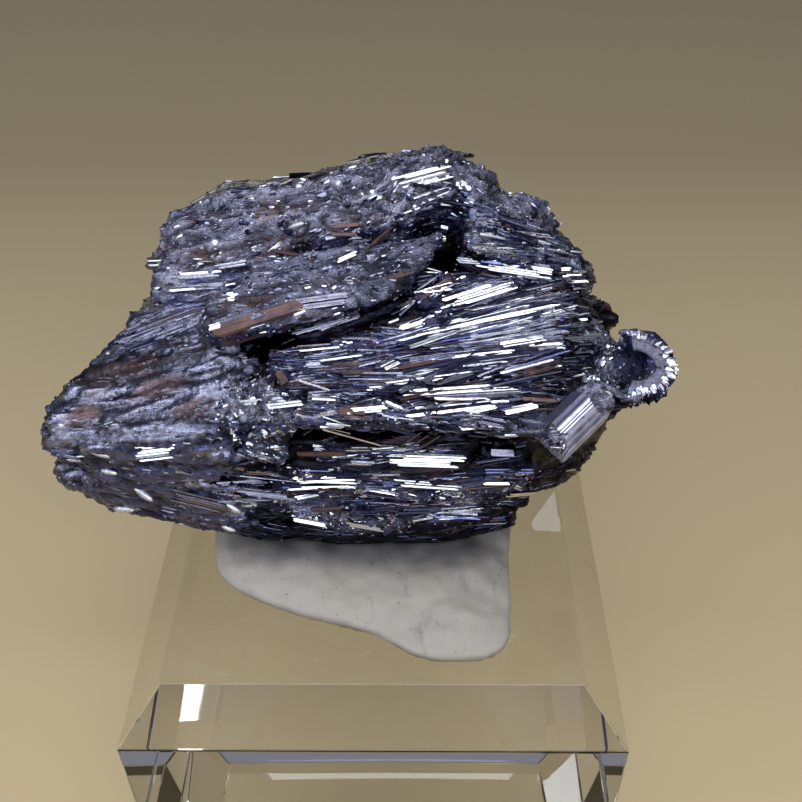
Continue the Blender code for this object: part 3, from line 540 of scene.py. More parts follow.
class Shader:
    """A material's node tree, put together one node at a time."""

    def __init__(self, name: str) -> None:
        """Starts a material.

        Args:
            name: The material's name.
        """
        self.material = bpy.data.materials.new(name)
        self.material.use_nodes = True
        self.tree = self.material.node_tree
        self.surface = self.tree.nodes["Principled BSDF"]

    def feed(self, node: bpy.types.Node, inputs: dict) -> None:
        """Links or sets a node's inputs.

        Args:
            node: The node to feed.
            inputs: Input names or numbers, each with the socket to link or the value to set.
        """
        for key, value in inputs.items():
            if isinstance(value, bpy.types.NodeSocket):
                self.tree.links.new(value, node.inputs[key])
            else:
                node.inputs[key].default_value = value

    def node(self, kind: str, inputs: dict | None = None, **settings: object) -> bpy.types.Node:
        """Adds a node.

        Args:
            kind: The node's type name.
            inputs: Its inputs, as feed takes them.
            settings: Properties of the node.

        Returns:
            The new node.
        """
        node = self.tree.nodes.new(kind)
        for key, value in settings.items():
            setattr(node, key, value)
        self.feed(node, inputs or {})
        return node

    def tinted(self, factor: object, first: object,
               second: object) -> bpy.types.NodeSocket:
        """Mixes two colours.

        Args:
            factor: Share of the second colour.
            first: First colour.
            second: Second colour.

        Returns:
            The mixed colour's socket.
        """
        node = self.node("ShaderNodeMix", data_type="RGBA")
        self.feed(node, {0: factor, 6: first, 7: second})
        return node.outputs[2]

    def ramp(self, factor: object, low: float, high: float, from_low: float = 0.0,
             from_high: float = 1.0) -> bpy.types.NodeSocket:
        """Maps a value from one range to another, clamped.

        Args:
            factor: The value.
            low: Result at the lower end.
            high: Result at the upper end.
            from_low: Lower end of the value.
            from_high: Upper end of the value.

        Returns:
            The mapped value's socket.
        """
        node = self.node("ShaderNodeMapRange", {"Value": factor, "From Min": from_low,
                                                "From Max": from_high, "To Min": low,
                                                "To Max": high})
        return node.outputs["Result"]

    def speckle(self, vector: object, scale: float, detail: float = 3.0,
                roughness: float = 0.55, distortion: float = 0.0) -> bpy.types.NodeSocket:
        """Adds a noise pattern.

        Args:
            vector: Coordinates to read it at.
            scale: Features per metre, or per unit of a UV map.
            detail: Octaves.
            roughness: Weight of the finer octaves.
            distortion: Swirl.

        Returns:
            The pattern's value socket.
        """
        return self.node("ShaderNodeTexNoise", {"Vector": vector, "Scale": scale,
                                                "Detail": detail, "Roughness": roughness,
                                                "Distortion": distortion}).outputs["Fac"]

    def place(self) -> bpy.types.NodeSocket:
        """Returns the object coordinates."""
        return self.node("ShaderNodeTexCoord").outputs["Object"]

    def attribute(self, name: str, output: str) -> bpy.types.NodeSocket:
        """Returns one output of a mesh attribute."""
        return self.node("ShaderNodeAttribute", attribute_name=name).outputs[output]

    def times(self, first: object, second: object) -> bpy.types.NodeSocket:
        """Returns the product of two values."""
        return self.node("ShaderNodeMath", {0: first, 1: second}, operation="MULTIPLY").outputs[0]

    def bumped(self, height: object, distance: object, strength: object = 1.0,
               under: bpy.types.NodeSocket | None = None) -> bpy.types.NodeSocket:
        """Raises a relief.

        Args:
            height: Its pattern.
            distance: Its depth.
            strength: How much of it shows.
            under: The normal that it lies on.

        Returns:
            The new normal.
        """
        inputs = {"Height": height, "Strength": strength, "Distance": distance}
        if under is not None:
            inputs["Normal"] = under
        return self.node("ShaderNodeBump", inputs).outputs["Normal"]


@dataclass(frozen=True)
class StibniteFinish:
    """Metallic sulphide; the tone's alpha says how clean and polished a crystal is."""

    name: str
    roughness: tuple[float, float] = (0.10, 0.30)
    line_depth_mm: float = 0.03
    grain_depth_mm: float = 0.010
    film: float = 0.3
    lines_across: float = 9.0
    line_stretch: float = 0.35
    grain_scale: float = 7000.0
    mottle_scale: float = 900.0
    patch_scale: float = 230.0
    darkening: float = 0.8
    grime_tone: tuple[float, float, float, float] = (0.04, 0.04, 0.06, 1.0)

    def relief(self, shader: Shader, dullness: object) -> bpy.types.NodeSocket:
        """Returns the normal of the lines along each crystal and of the fine grain.

        Args:
            shader: The material.
            dullness: How rough the crystal is, from zero to one.
        """
        uv = shader.node("ShaderNodeUVMap", uv_map=GRAIN).outputs["UV"]
        stretched = shader.node("ShaderNodeMapping", {
            "Vector": uv, "Scale": (self.lines_across, self.line_stretch, 1.0)}).outputs["Vector"]
        ridged = shader.bumped(shader.speckle(stretched, 1.0, 3.0, 0.7), self.line_depth_mm * MM,
                               dullness)
        return shader.bumped(shader.speckle(shader.place(), self.grain_scale, 2.0, 0.6),
                             self.grain_depth_mm * MM, dullness, ridged)

    def material(self) -> bpy.types.Material:
        """Builds the node material."""
        shader = Shader(self.name)
        tone, polish = (shader.attribute(TONE, output) for output in ("Color", "Alpha"))
        dullness = shader.ramp(polish, 1.0, 0.3)
        mottle = shader.speckle(shader.place(), self.mottle_scale, 4.0, 0.65)
        patches = shader.speckle(shader.place(), self.patch_scale, 2.0, 0.5, 0.6)
        darkening = shader.times(shader.ramp(mottle, self.darkening, 0.0, 0.32, 0.56), dullness)
        film = shader.times(shader.ramp(patches, 0.0, self.film, 0.58, 0.70), dullness)
        spread = shader.times(shader.ramp(mottle, *self.roughness, 0.3, 0.7),
                              shader.ramp(dullness, 0.75, 1.25))
        dirty = shader.tinted(darkening, tone, self.grime_tone)
        shader.feed(shader.surface, {
            "Base Color": shader.tinted(film, dirty, (*Tone.UMBER.value, 1.0)),
            "Roughness": spread, "Metallic": shader.ramp(polish, 0.45, 1.0, 0.0, 0.15),
            "Normal": self.relief(shader, dullness)})
        return shader.material


@dataclass(frozen=True)
class SkinFinish(StibniteFinish):
    """The massive mineral between the crystals, grainy and drawn out along the growth."""

    coarse_mm: float = 1.7
    fine_mm: float = 0.5

    def relief(self, shader: Shader, dullness: object) -> bpy.types.NodeSocket:
        """Returns the normal of the drawn-out grains.

        Args:
            shader: The material.
            dullness: How rough the skin is, from zero to one.
        """
        drawn = shader.attribute(GROWTH, "Vector")
        depth = shader.attribute(PEBBLE, "Fac")
        coarse = shader.bumped(shader.speckle(drawn, 3.6, 3.0, 0.75),
                               shader.times(depth, self.coarse_mm * MM))
        return shader.bumped(shader.speckle(drawn, 10.0, 2.0, 0.7),
                             shader.times(depth, self.fine_mm * MM), under=coarse)


@dataclass(frozen=True)
class PuttyFinish:
    """Pale putty, smeared and flecked with grey mineral dust, and darkened near the spray by a
    painted shadow.
    """

    name: str = "kneaded_putty"
    shadow_tone: tuple[float, float, float, float] = (0.35, 0.315, 0.275, 1.0)
    light_tone: tuple[float, float, float, float] = (0.42, 0.39, 0.355, 1.0)
    spray_shadow_tone: tuple[float, float, float, float] = (0.07, 0.068, 0.075, 1.0)
    smear_tone: tuple[float, float, float, float] = (0.20, 0.20, 0.24, 1.0)
    fleck_tone: tuple[float, float, float, float] = (0.09, 0.09, 0.12, 1.0)
    relief_mm: float = 0.06

    def material(self) -> bpy.types.Material:
        """Builds the node material."""
        shader = Shader(self.name)
        place = shader.place()
        soft = shader.speckle(place, 160.0, 3.0, 0.6, 0.4)
        smear_place = shader.node("ShaderNodeMapping", {
            "Vector": place, "Scale": (1.0, 0.35, 0.5)}).outputs["Vector"]
        smears = shader.ramp(shader.speckle(smear_place, 420.0, 4.0, 0.7, 0.5),
                             0.0, 0.55, 0.56, 0.70)
        flecks = shader.ramp(shader.speckle(place, 2600.0, 2.0, 0.5), 0.0, 0.8, 0.68, 0.74)
        colour = shader.tinted(soft, self.shadow_tone, self.light_tone)
        # The first mix is a painted shadow: the putty is darkened near the spray.
        for share, tone in ((shader.attribute(SPRAY_SHADOW, "Fac"), self.spray_shadow_tone),
                            (smears, self.smear_tone), (flecks, self.fleck_tone)):
            colour = shader.tinted(share, colour, tone)
        shader.feed(shader.surface, {
            "Base Color": colour, "Roughness": shader.ramp(soft, 0.42, 0.62),
            "Subsurface Weight": 0.12, "Subsurface Radius": (0.004, 0.002, 0.001),
            "Subsurface Scale": 0.3,
            "Normal": shader.bumped(shader.speckle(place, 1400.0, 4.0, 0.6),
                                    self.relief_mm * MM, 0.6)})
        return shader.material


@dataclass(frozen=True)
class AcrylicFinish:
    """Clear polished acrylic with faint handling marks."""

    name: str = "polished_acrylic"

    def material(self) -> bpy.types.Material:
        """Builds the node material."""
        shader = Shader(self.name)
        marks = shader.speckle(shader.place(), 90.0, 5.0, 0.6, 0.3)
        shader.feed(shader.surface, {
            "Base Color": (1.0, 1.0, 0.99, 1.0), "Transmission Weight": 1.0, "IOR": 1.49,
            "Roughness": shader.ramp(marks, 0.0, 0.05, 0.5, 0.75)})
        return shader.material


@dataclass(frozen=True)
class FloorFinish:
    """Plain pale floor with a soft glow, so that it shows through the clear block."""

    name: str = "pale_floor"

    def material(self) -> bpy.types.Material:
        """Builds the node material."""
        shader = Shader(self.name)
        place = shader.place()
        drift = shader.speckle(place, 12.0, 2.0)
        depth = shader.node("ShaderNodeSeparateXYZ", {0: place}).outputs["Y"]
        shader.feed(shader.surface, {
            "Base Color": shader.tinted(drift, (0.25, 0.20, 0.118, 1.0), (0.27, 0.22, 0.13, 1.0)),
            "Emission Color": (0.48, 0.39, 0.235, 1.0),
            # Painted light: the floor glows, most at the front and fading to almost none behind
            # the block.
            "Emission Strength": shader.ramp(depth, 0.56, 0.06, -0.03, 0.13),
            "Roughness": 0.85})
        return shader.material


# --------------------------------------------------------------------------------------------
# Shared tools
# --------------------------------------------------------------------------------------------


def pick(chance: random.Random, shares: tuple) -> object:
    """Draws one item from (item, share) pairs.

    Args:
        chance: Source of random numbers.
        shares: The pairs.

    Returns:
        The drawn item.
    """
    return chance.choices([item for item, _ in shares], [share for _, share in shares])[0]


def polished(tone: Tone) -> tuple:
    """Returns a tone with its polish as alpha."""
    return (*tone.value, TARNISHED if tone is Tone.UMBER else WEATHERED)


def shaded(tone: tuple, chance: random.Random, spread: float = 0.2) -> tuple:
    """Returns a tone a little lighter or darker, with its alpha kept.

    Args:
        tone: Colour and alpha.
        chance: Source of random numbers.
        spread: How much it may change.
    """
    shade = chance.uniform(1.0 - spread, 1.0 + spread)
    return (*(min(1.0, part * shade) for part in tone[:3]), tone[3])


def linked(name: str, data: bpy.types.ID) -> bpy.types.Object:
    """Returns a new object in the scene."""
    item = bpy.data.objects.new(name, data)
    bpy.context.scene.collection.objects.link(item)
    return item


def stored(name: str, mesh: bmesh.types.BMesh) -> bpy.types.Mesh:
    """Returns a finished shape as mesh data, and frees the shape."""
    data = bpy.data.meshes.new(name)
    mesh.to_mesh(data)
    mesh.free()
    return data


def show(name: str, mesh: bpy.types.Mesh, material: bpy.types.Material) -> bpy.types.Object:
    """Puts a finished mesh, in metres, in the scene as a piece that rides on the body.

    Args:
        name: The piece's name.
        mesh: Its mesh.
        material: Its finish.

    Returns:
        The piece.
    """
    mesh.materials.clear()
    mesh.materials.append(material)
    piece = linked(name, mesh)
    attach(piece, BODY)
    LOG.info("%s: %d faces", name, len(mesh.polygons))
    return piece


def settled(piece: bpy.types.Object) -> bpy.types.Mesh:
    """Returns the mesh that an object's modifiers give, and removes the object."""
    graph = bpy.context.evaluated_depsgraph_get()
    mesh = bpy.data.meshes.new_from_object(piece.evaluated_get(graph))
    bpy.data.objects.remove(piece, do_unlink=True)
    return mesh


def remeshed(node: str, voxel_mm: float, lumps: tuple[Lump, ...] = (),
             smoothing: int = 0) -> bpy.types.Mesh:
    """Remakes a node's solid as an even fine mesh.

    Args:
        node: The node.
        voxel_mm: The new mesh's fineness.
        lumps: Swellings to join to it.
        smoothing: How many times to smooth it.

    Returns:
        The mesh, in metres.
    """
    mesh = bmesh.new()
    mesh.from_mesh(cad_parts[node].data)
    bmesh.ops.remove_doubles(mesh, verts=mesh.verts, dist=WELD)
    for lump in lumps:
        place = (Matrix.Scale(MM, 4) @ Matrix.Translation(lump.place)
                 @ Matrix.Diagonal((*lump.reach, 1.0)))
        bmesh.ops.create_icosphere(mesh, subdivisions=3, radius=1.0, matrix=place)
    holder = linked(f"{node}_source", stored(f"{node}_source", mesh))
    remesh = holder.modifiers.new("even", "REMESH")
    remesh.mode = "VOXEL"
    remesh.voxel_size = voxel_mm * MM
    if smoothing:
        holder.modifiers.new("soften", "SMOOTH").iterations = smoothing
    return settled(holder)


def vertex_array(mesh: bpy.types.Mesh) -> np.ndarray:
    """Returns a mesh's vertex places, in millimetres, one row each."""
    places = np.zeros(len(mesh.vertices) * 3, np.float32)
    mesh.vertices.foreach_get("co", places)
    return places.reshape(-1, 3) / MM


def add_column(mesh: bpy.types.Mesh, label: str, kind: str, values: object) -> None:
    """Writes a named value on each vertex.

    Args:
        mesh: The mesh.
        label: The value's name.
        kind: Its attribute type.
        values: One row or number for each vertex.
    """
    member = {"FLOAT_VECTOR": "vector", "FLOAT_COLOR": "color"}.get(kind, "value")
    number = np.int32 if kind == "INT" else np.float32
    layer = mesh.attributes.new(label, kind, "POINT")
    layer.data.foreach_set(member, np.asarray(values, number).ravel())


def unit_block() -> bmesh.types.BMesh:
    """Returns a cube one unit wide that stands on the origin."""
    mesh = bmesh.new()
    bmesh.ops.create_cube(mesh, size=1.0)
    bmesh.ops.translate(mesh, vec=(0, 0, 0.5), verts=mesh.verts)
    return mesh


def trim(mesh: bmesh.types.BMesh, cuts: tuple) -> bmesh.types.BMesh:
    """Cuts off what lies beyond each of some planes and closes the cuts.

    Args:
        mesh: The shape to cut.
        cuts: For each plane a point of it and the side that goes.

    Returns:
        The same shape.
    """
    for place, normal in cuts:
        geometry = mesh.verts[:] + mesh.edges[:] + mesh.faces[:]
        cut = bmesh.ops.bisect_plane(mesh, geom=geometry, plane_co=place, plane_no=normal,
                                     clear_outer=True)
        rim = [item for item in cut["geom_cut"] if isinstance(item, bmesh.types.BMEdge)]
        bmesh.ops.holes_fill(mesh, edges=rim, sides=0)
    return mesh


def slice_block(mesh: bmesh.types.BMesh, slices: int) -> None:
    """Cuts a unit block into equal slices across X, which stay joined."""
    for cut in range(1, slices):
        geometry = mesh.verts[:] + mesh.edges[:] + mesh.faces[:]
        bmesh.ops.bisect_plane(mesh, geom=geometry, plane_co=(-0.5 + cut / slices, 0, 0),
                               plane_no=(1, 0, 0))


def map_grain(mesh: bmesh.types.BMesh, spread: Callable[[Vector], tuple]) -> None:
    """Writes the UV map that the finishes' lines follow.

    Args:
        mesh: The shape.
        spread: Gives the map's place for a vertex's place.
    """
    layer = mesh.loops.layers.uv.new(GRAIN)
    for face in mesh.faces:
        for loop in face.loops:
            loop[layer].uv = spread(loop.vert.co)


class GrowthField:
    """Direction and zone of the growth at any place."""

    nearness = 4.0
    nearest_mm = 0.4

    def __init__(self, flows: tuple[Flow, ...], studio: Studio, solid: Surface) -> None:
        """Takes in the growth lines.

        Args:
            flows: The lines.
            studio: The display view, which their pixels belong to.
            solid: The spray's solid, on which the pixels land.
        """
        self.flows = flows
        self.starts = np.array([studio.landed(flow.start, solid) for flow in flows])
        runs = np.array([studio.landed(flow.end, solid) for flow in flows]) - self.starts
        self.lengths = np.linalg.norm(runs, axis=1)
        self.axes = runs / self.lengths[:, None]
        self.reaches = np.array([flow.reach for flow in flows])

    def distances(self, places: np.ndarray) -> np.ndarray:
        """Returns how far each place (row) is from each growth line (column)."""
        apart = places[:, None, :] - self.starts[None]
        reach = np.clip((apart * self.axes[None]).sum(-1), 0.0, self.lengths)
        away = np.linalg.norm(apart - reach[..., None] * self.axes[None], axis=-1)
        return away / self.reaches

    def read(self, places: np.ndarray) -> tuple[np.ndarray, np.ndarray]:
        """Reads the field.

        Args:
            places: Places, one row each.

        Returns:
            The growth direction at each place and the number of its nearest line.
        """
        apart = self.distances(places)
        weight = 1.0 / (apart + self.nearest_mm) ** self.nearness
        axes = weight @ self.axes
        axes /= np.linalg.norm(axes, axis=1)[:, None]
        return axes, apart.argmin(axis=1)


class Surface:
    """The spray's skin, for finding places on it."""

    def __init__(self, mesh: bpy.types.Mesh) -> None:
        """Takes in the skin's mesh.

        Args:
            mesh: The skin, in metres.
        """
        mesh.calc_loop_triangles()
        corners = np.zeros(len(mesh.loop_triangles) * 3, np.int32)
        mesh.loop_triangles.foreach_get("vertices", corners)
        self.corners = corners.reshape(-1, 3)
        self.places = vertex_array(mesh)
        self.tree = BVHTree.FromPolygons(self.places.tolist(), self.corners.tolist())

    def scatter(self, density: float, generator: np.random.Generator) -> tuple:
        """Draws places on the skin, evenly by area.

        Args:
            density: Places per square millimetre.
            generator: Source of random numbers.

        Returns:
            The places and the skin's normals there, one row each.
        """
        first, second, third = (self.places[self.corners[:, index]] for index in range(3))
        normals = np.cross(second - first, third - first)
        doubled = np.linalg.norm(normals, axis=1)
        count = int(doubled.sum() / 2 * density)
        chosen = generator.choice(len(doubled), count, p=doubled / doubled.sum())
        left, right = generator.random((2, count))
        over = left + right > 1.0
        left[over], right[over] = 1.0 - left[over], 1.0 - right[over]
        edge_a, edge_b = (second - first)[chosen], (third - first)[chosen]
        places = first[chosen] + left[:, None] * edge_a + right[:, None] * edge_b
        return places, normals[chosen] / doubled[chosen][:, None]

    def drop(self, place: Vector, normal: Vector, reach: float = 1.6) -> Vector | None:
        """Lets a place fall on the skin along the normal.

        Args:
            place: The place.
            normal: The way out of the skin.
            reach: How far above and below the place to look.

        Returns:
            The place on the skin, or None where there is none within reach.
        """
        hit = self.tree.ray_cast(place + normal * reach, -normal, 2 * reach)[0]
        return hit


class CrystalForms:
    """The single-crystal shapes, each one unit long on +Z, one wide and one thick."""

    CUTS = {
        Form.LATH: (((0.42, 0.5, 0), (1, 0.45, 0)), ((-0.36, 0.5, 0), (-1, 0.7, 0)),
                    ((0, 0, 0.95), (0.13, -0.1, 1)), ((0, 0, 0.05), (-0.11, -0.1, -1))),
        Form.SHARD: (((0.2, 0.5, 0.9), (0.8, 0.5, 0.9)), ((-0.3, 0.4, 0.6), (-1, 0.6, 0.3)),
                     ((0, -0.2, 0.15), (0.4, -0.6, -1))),
        Form.CHIP: (((0.35, 0.35, 0.8), (1, 0.9, 0.8)), ((-0.35, 0.3, 0.7), (-1, 1, 0.1)),
                    ((0.3, -0.3, 0.9), (0.3, -1, 1)))}
    NEEDLE_TIP = (((0, 0, 0.93), (0.7, 0.2, 1)),)
    CHISEL_TIP = (((0, 0, 0.96), (1.2, 0, 0.6)), ((0, 0, 0.92), (-0.9, 0.3, 0.5)))
    RIBS = 7
    RIB_HEIGHTS = (-0.3, 0.12)

    def __init__(self, seed: int = 5) -> None:
        """Builds every form.

        Args:
            seed: Seed of the ribs' heights.
        """
        self.collection = bpy.data.collections.new("crystal_forms")
        self.keep(Form.NEEDLE, trim(self.prism(6, 0.45), self.NEEDLE_TIP))
        self.keep(Form.CHISEL, trim(self.prism(4, 0.8), self.CHISEL_TIP))
        for form, cuts in self.CUTS.items():
            self.keep(form, trim(unit_block(), cuts))
        self.keep(Form.RIBBED, self.ribbed(random.Random(seed)))
        self.keep(Form.BEAD, self.bead())

    def keep(self, form: Form, mesh: bmesh.types.BMesh) -> None:
        """Stores a form, with its lengthwise grain in a UV map.

        Args:
            form: Which form it is.
            mesh: Its shape.
        """
        bmesh.ops.recalc_face_normals(mesh, faces=mesh.faces)
        for face in mesh.faces:
            face.smooth = form is Form.BEAD
        map_grain(mesh, lambda spot: (spot.x + 0.7 * spot.y + form.value, spot.z))
        name = f"form_{form.value}"
        self.collection.objects.link(bpy.data.objects.new(name, stored(name, mesh)))

    def prism(self, sides: int, taper: float) -> bmesh.types.BMesh:
        """Returns an upright prism with a flat side toward +Y."""
        mesh = bmesh.new()
        bmesh.ops.create_cone(mesh, cap_ends=True, segments=sides, radius1=0.5,
                              radius2=0.5 * taper, depth=1.0)
        turn = Matrix.Rotation(math.pi / 2 - math.pi / sides, 3, "Z")
        bmesh.ops.rotate(mesh, cent=(0, 0, 0), matrix=turn, verts=mesh.verts)
        bmesh.ops.translate(mesh, vec=(0, 0, 0.5), verts=mesh.verts)
        return mesh

    def ribbed(self, chance: random.Random) -> bmesh.types.BMesh:
        """Returns a blade whose broad side is raised in lengthwise ribs."""
        mesh = unit_block()
        slice_block(mesh, self.RIBS)
        heights = [chance.uniform(*self.RIB_HEIGHTS) for _ in range(self.RIBS + 1)]
        for vert in mesh.verts:
            height = heights[round((vert.co.x + 0.5) * self.RIBS)]
            if vert.co.y > 0.0:
                vert.co.y += height
            if vert.co.z > 0.5:
                vert.co.z -= 0.06 * abs(height) * 3
        return mesh

    def bead(self) -> bmesh.types.BMesh:
        """Returns a worn, rounded crystal end, fullest below its middle."""
        mesh = bmesh.new()
        bmesh.ops.create_uvsphere(mesh, u_segments=7, v_segments=5, radius=0.5)
        for vert in mesh.verts:
            swell = 1.0 - 0.35 * max(0.0, vert.co.z)
            vert.co.x *= swell
            vert.co.y *= swell
        bmesh.ops.translate(mesh, vec=(0, 0, 0.5), verts=mesh.verts)
        return mesh


class CrystalStand:
    """Crystals gathered for one piece, then planted as one mesh."""

    def __init__(self, name: str, forms: CrystalForms) -> None:
        """Starts an empty stand.

        Args:
            name: The piece's name.
            forms: The shapes to plant.
        """
        self.name = name
        self.forms = forms
        self.rows: list[tuple] = []

    def add(self, form: Form, start: Vector, end: Vector, facing: Vector, width: float,
            thickness: float, tone: tuple) -> None:
        """Adds one crystal.

        Args:
            form: Its shape.
            start: Its root.
            end: Its tip.
            facing: The way its broad side looks.
            width: Its width.
            thickness: Its thickness.
            tone: Its colour, with its polish as alpha.
        """
        run = end - start
        length = run.length
        if length < 1e-3:
            return
        axis = run / length
        across = facing.cross(axis)
        if across.length < 1e-3:
            across = axis.orthogonal()
        across.normalize()
        turn = Matrix((across, axis.cross(across), axis)).transposed().to_quaternion()
        self.rows.append((start, turn, (width, thickness, length), form.value, tone))

    def plant(self, finish: StibniteFinish, slot: str = "stibnite") -> bpy.types.Object:
        """Turns the gathered crystals into one piece.

        Args:
            finish: Their finish.
            slot: Not used.

        Returns:
            The piece.
        """
        seeds = bpy.data.meshes.new(f"{self.name}_seeds")
        seeds.vertices.add(len(self.rows))
        places, turns, sizes, forms, tones = zip(*self.rows)
        seeds.vertices.foreach_set("co", (np.array(places) * MM).ravel())
        add_column(seeds, "turn", "QUATERNION", [tuple(turn) for turn in turns])
        add_column(seeds, "size", "FLOAT_VECTOR", np.array(sizes) * MM)
        add_column(seeds, "form", "INT", forms)
        add_column(seeds, TONE, "FLOAT_COLOR", tones)
        holder = linked(f"{self.name}_seeds", seeds)
        holder.modifiers.new("plant", "NODES").node_group = self.planting()
        mesh = settled(holder)
        mesh.polygons.foreach_set("material_index", np.zeros(len(mesh.polygons), np.int32))
        return show(self.name, mesh, finish.material())

    def planting(self) -> bpy.types.NodeTree:
        """Returns the node group that puts a form on each seed and makes it real."""
        name = "plant_crystals"
        if name in bpy.data.node_groups:
            return bpy.data.node_groups[name]
        tree = bpy.data.node_groups.new(name, "GeometryNodeTree")
        tree.interface.new_socket("Geometry", in_out="INPUT", socket_type="NodeSocketGeometry")
        tree.interface.new_socket("Geometry", in_out="OUTPUT", socket_type="NodeSocketGeometry")
        group_in = tree.nodes.new("NodeGroupInput")
        group_out = tree.nodes.new("NodeGroupOutput")
        source = tree.nodes.new("GeometryNodeCollectionInfo")
        source.inputs["Collection"].default_value = self.forms.collection
        source.inputs["Separate Children"].default_value = True
        source.inputs["Reset Children"].default_value = True
        place = tree.nodes.new("GeometryNodeInstanceOnPoints")
        place.inputs["Pick Instance"].default_value = True
        real = tree.nodes.new("GeometryNodeRealizeInstances")
        for label, kind, target in (("form", "INT", "Instance Index"),
                                    ("turn", "QUATERNION", "Rotation"),
                                    ("size", "FLOAT_VECTOR", "Scale")):
            reader = tree.nodes.new("GeometryNodeInputNamedAttribute")
            reader.data_type = kind
            reader.inputs["Name"].default_value = label
            tree.links.new(reader.outputs["Attribute"], place.inputs[target])
        tree.links.new(group_in.outputs[0], place.inputs["Points"])
        tree.links.new(source.outputs[0], place.inputs["Instance"])
        tree.links.new(place.outputs[0], real.inputs[0])
        tree.links.new(real.outputs[0], group_out.inputs[0])
        return tree


# --------------------------------------------------------------------------------------------
# Studio
# --------------------------------------------------------------------------------------------


@dataclass(frozen=True)
class Softbox:
    """A soft rectangular light that looks at the spray, in metres and watts."""

    name: str
    place: tuple[float, float, float]
    size: tuple[float, float]
    power: float
    colour: tuple[float, float, float]
    span: tuple[float, float, float]
    shares: tuple[float, ...]

    def spots(self) -> list[Vector]:
        """Returns places on the light, in millimetres."""
        return [(Vector(self.place) + Vector([share * part for part in self.span])) / MM
                for share in self.shares]

    def light(self, target: tuple[float, float, float]) -> None:
        """Adds the light, aimed at a target."""
        data = bpy.data.lights.new(self.name, "AREA")
        data.shape = "RECTANGLE"
        data.size, data.size_y = self.size
        data.energy = self.power
        data.color = self.colour
        aim = (Vector(target) - Vector(self.place)).to_track_quat("-Z", "Y")
        linked(self.name, data).matrix_world = (Matrix.Translation(self.place)
                                                @ aim.to_matrix().to_4x4())


SOFTBOXES = (
    Softbox("key_softbox", (0.0, -0.04, 0.42), (0.70, 0.06), 0.95, (1.0, 0.98, 0.94),
            (0.70, 0.0, 0.0), (-0.45, -0.34, -0.23, -0.11, 0.0, 0.11, 0.23, 0.34, 0.45)),
    Softbox("front_softbox", (0.04, -0.36, 0.32), (0.60, 0.26), 1.3, (0.92, 0.96, 1.0),
            (0.60, 0.0, 0.0), (-0.4, -0.2, 0.0, 0.2, 0.4)),
    Softbox("left_softbox", (-0.42, -0.12, 0.26), (0.16, 0.30), 0.55, (0.82, 0.89, 1.0),
            (0.0, 0.0, 0.30), (-0.3, 0.0, 0.3)),
)


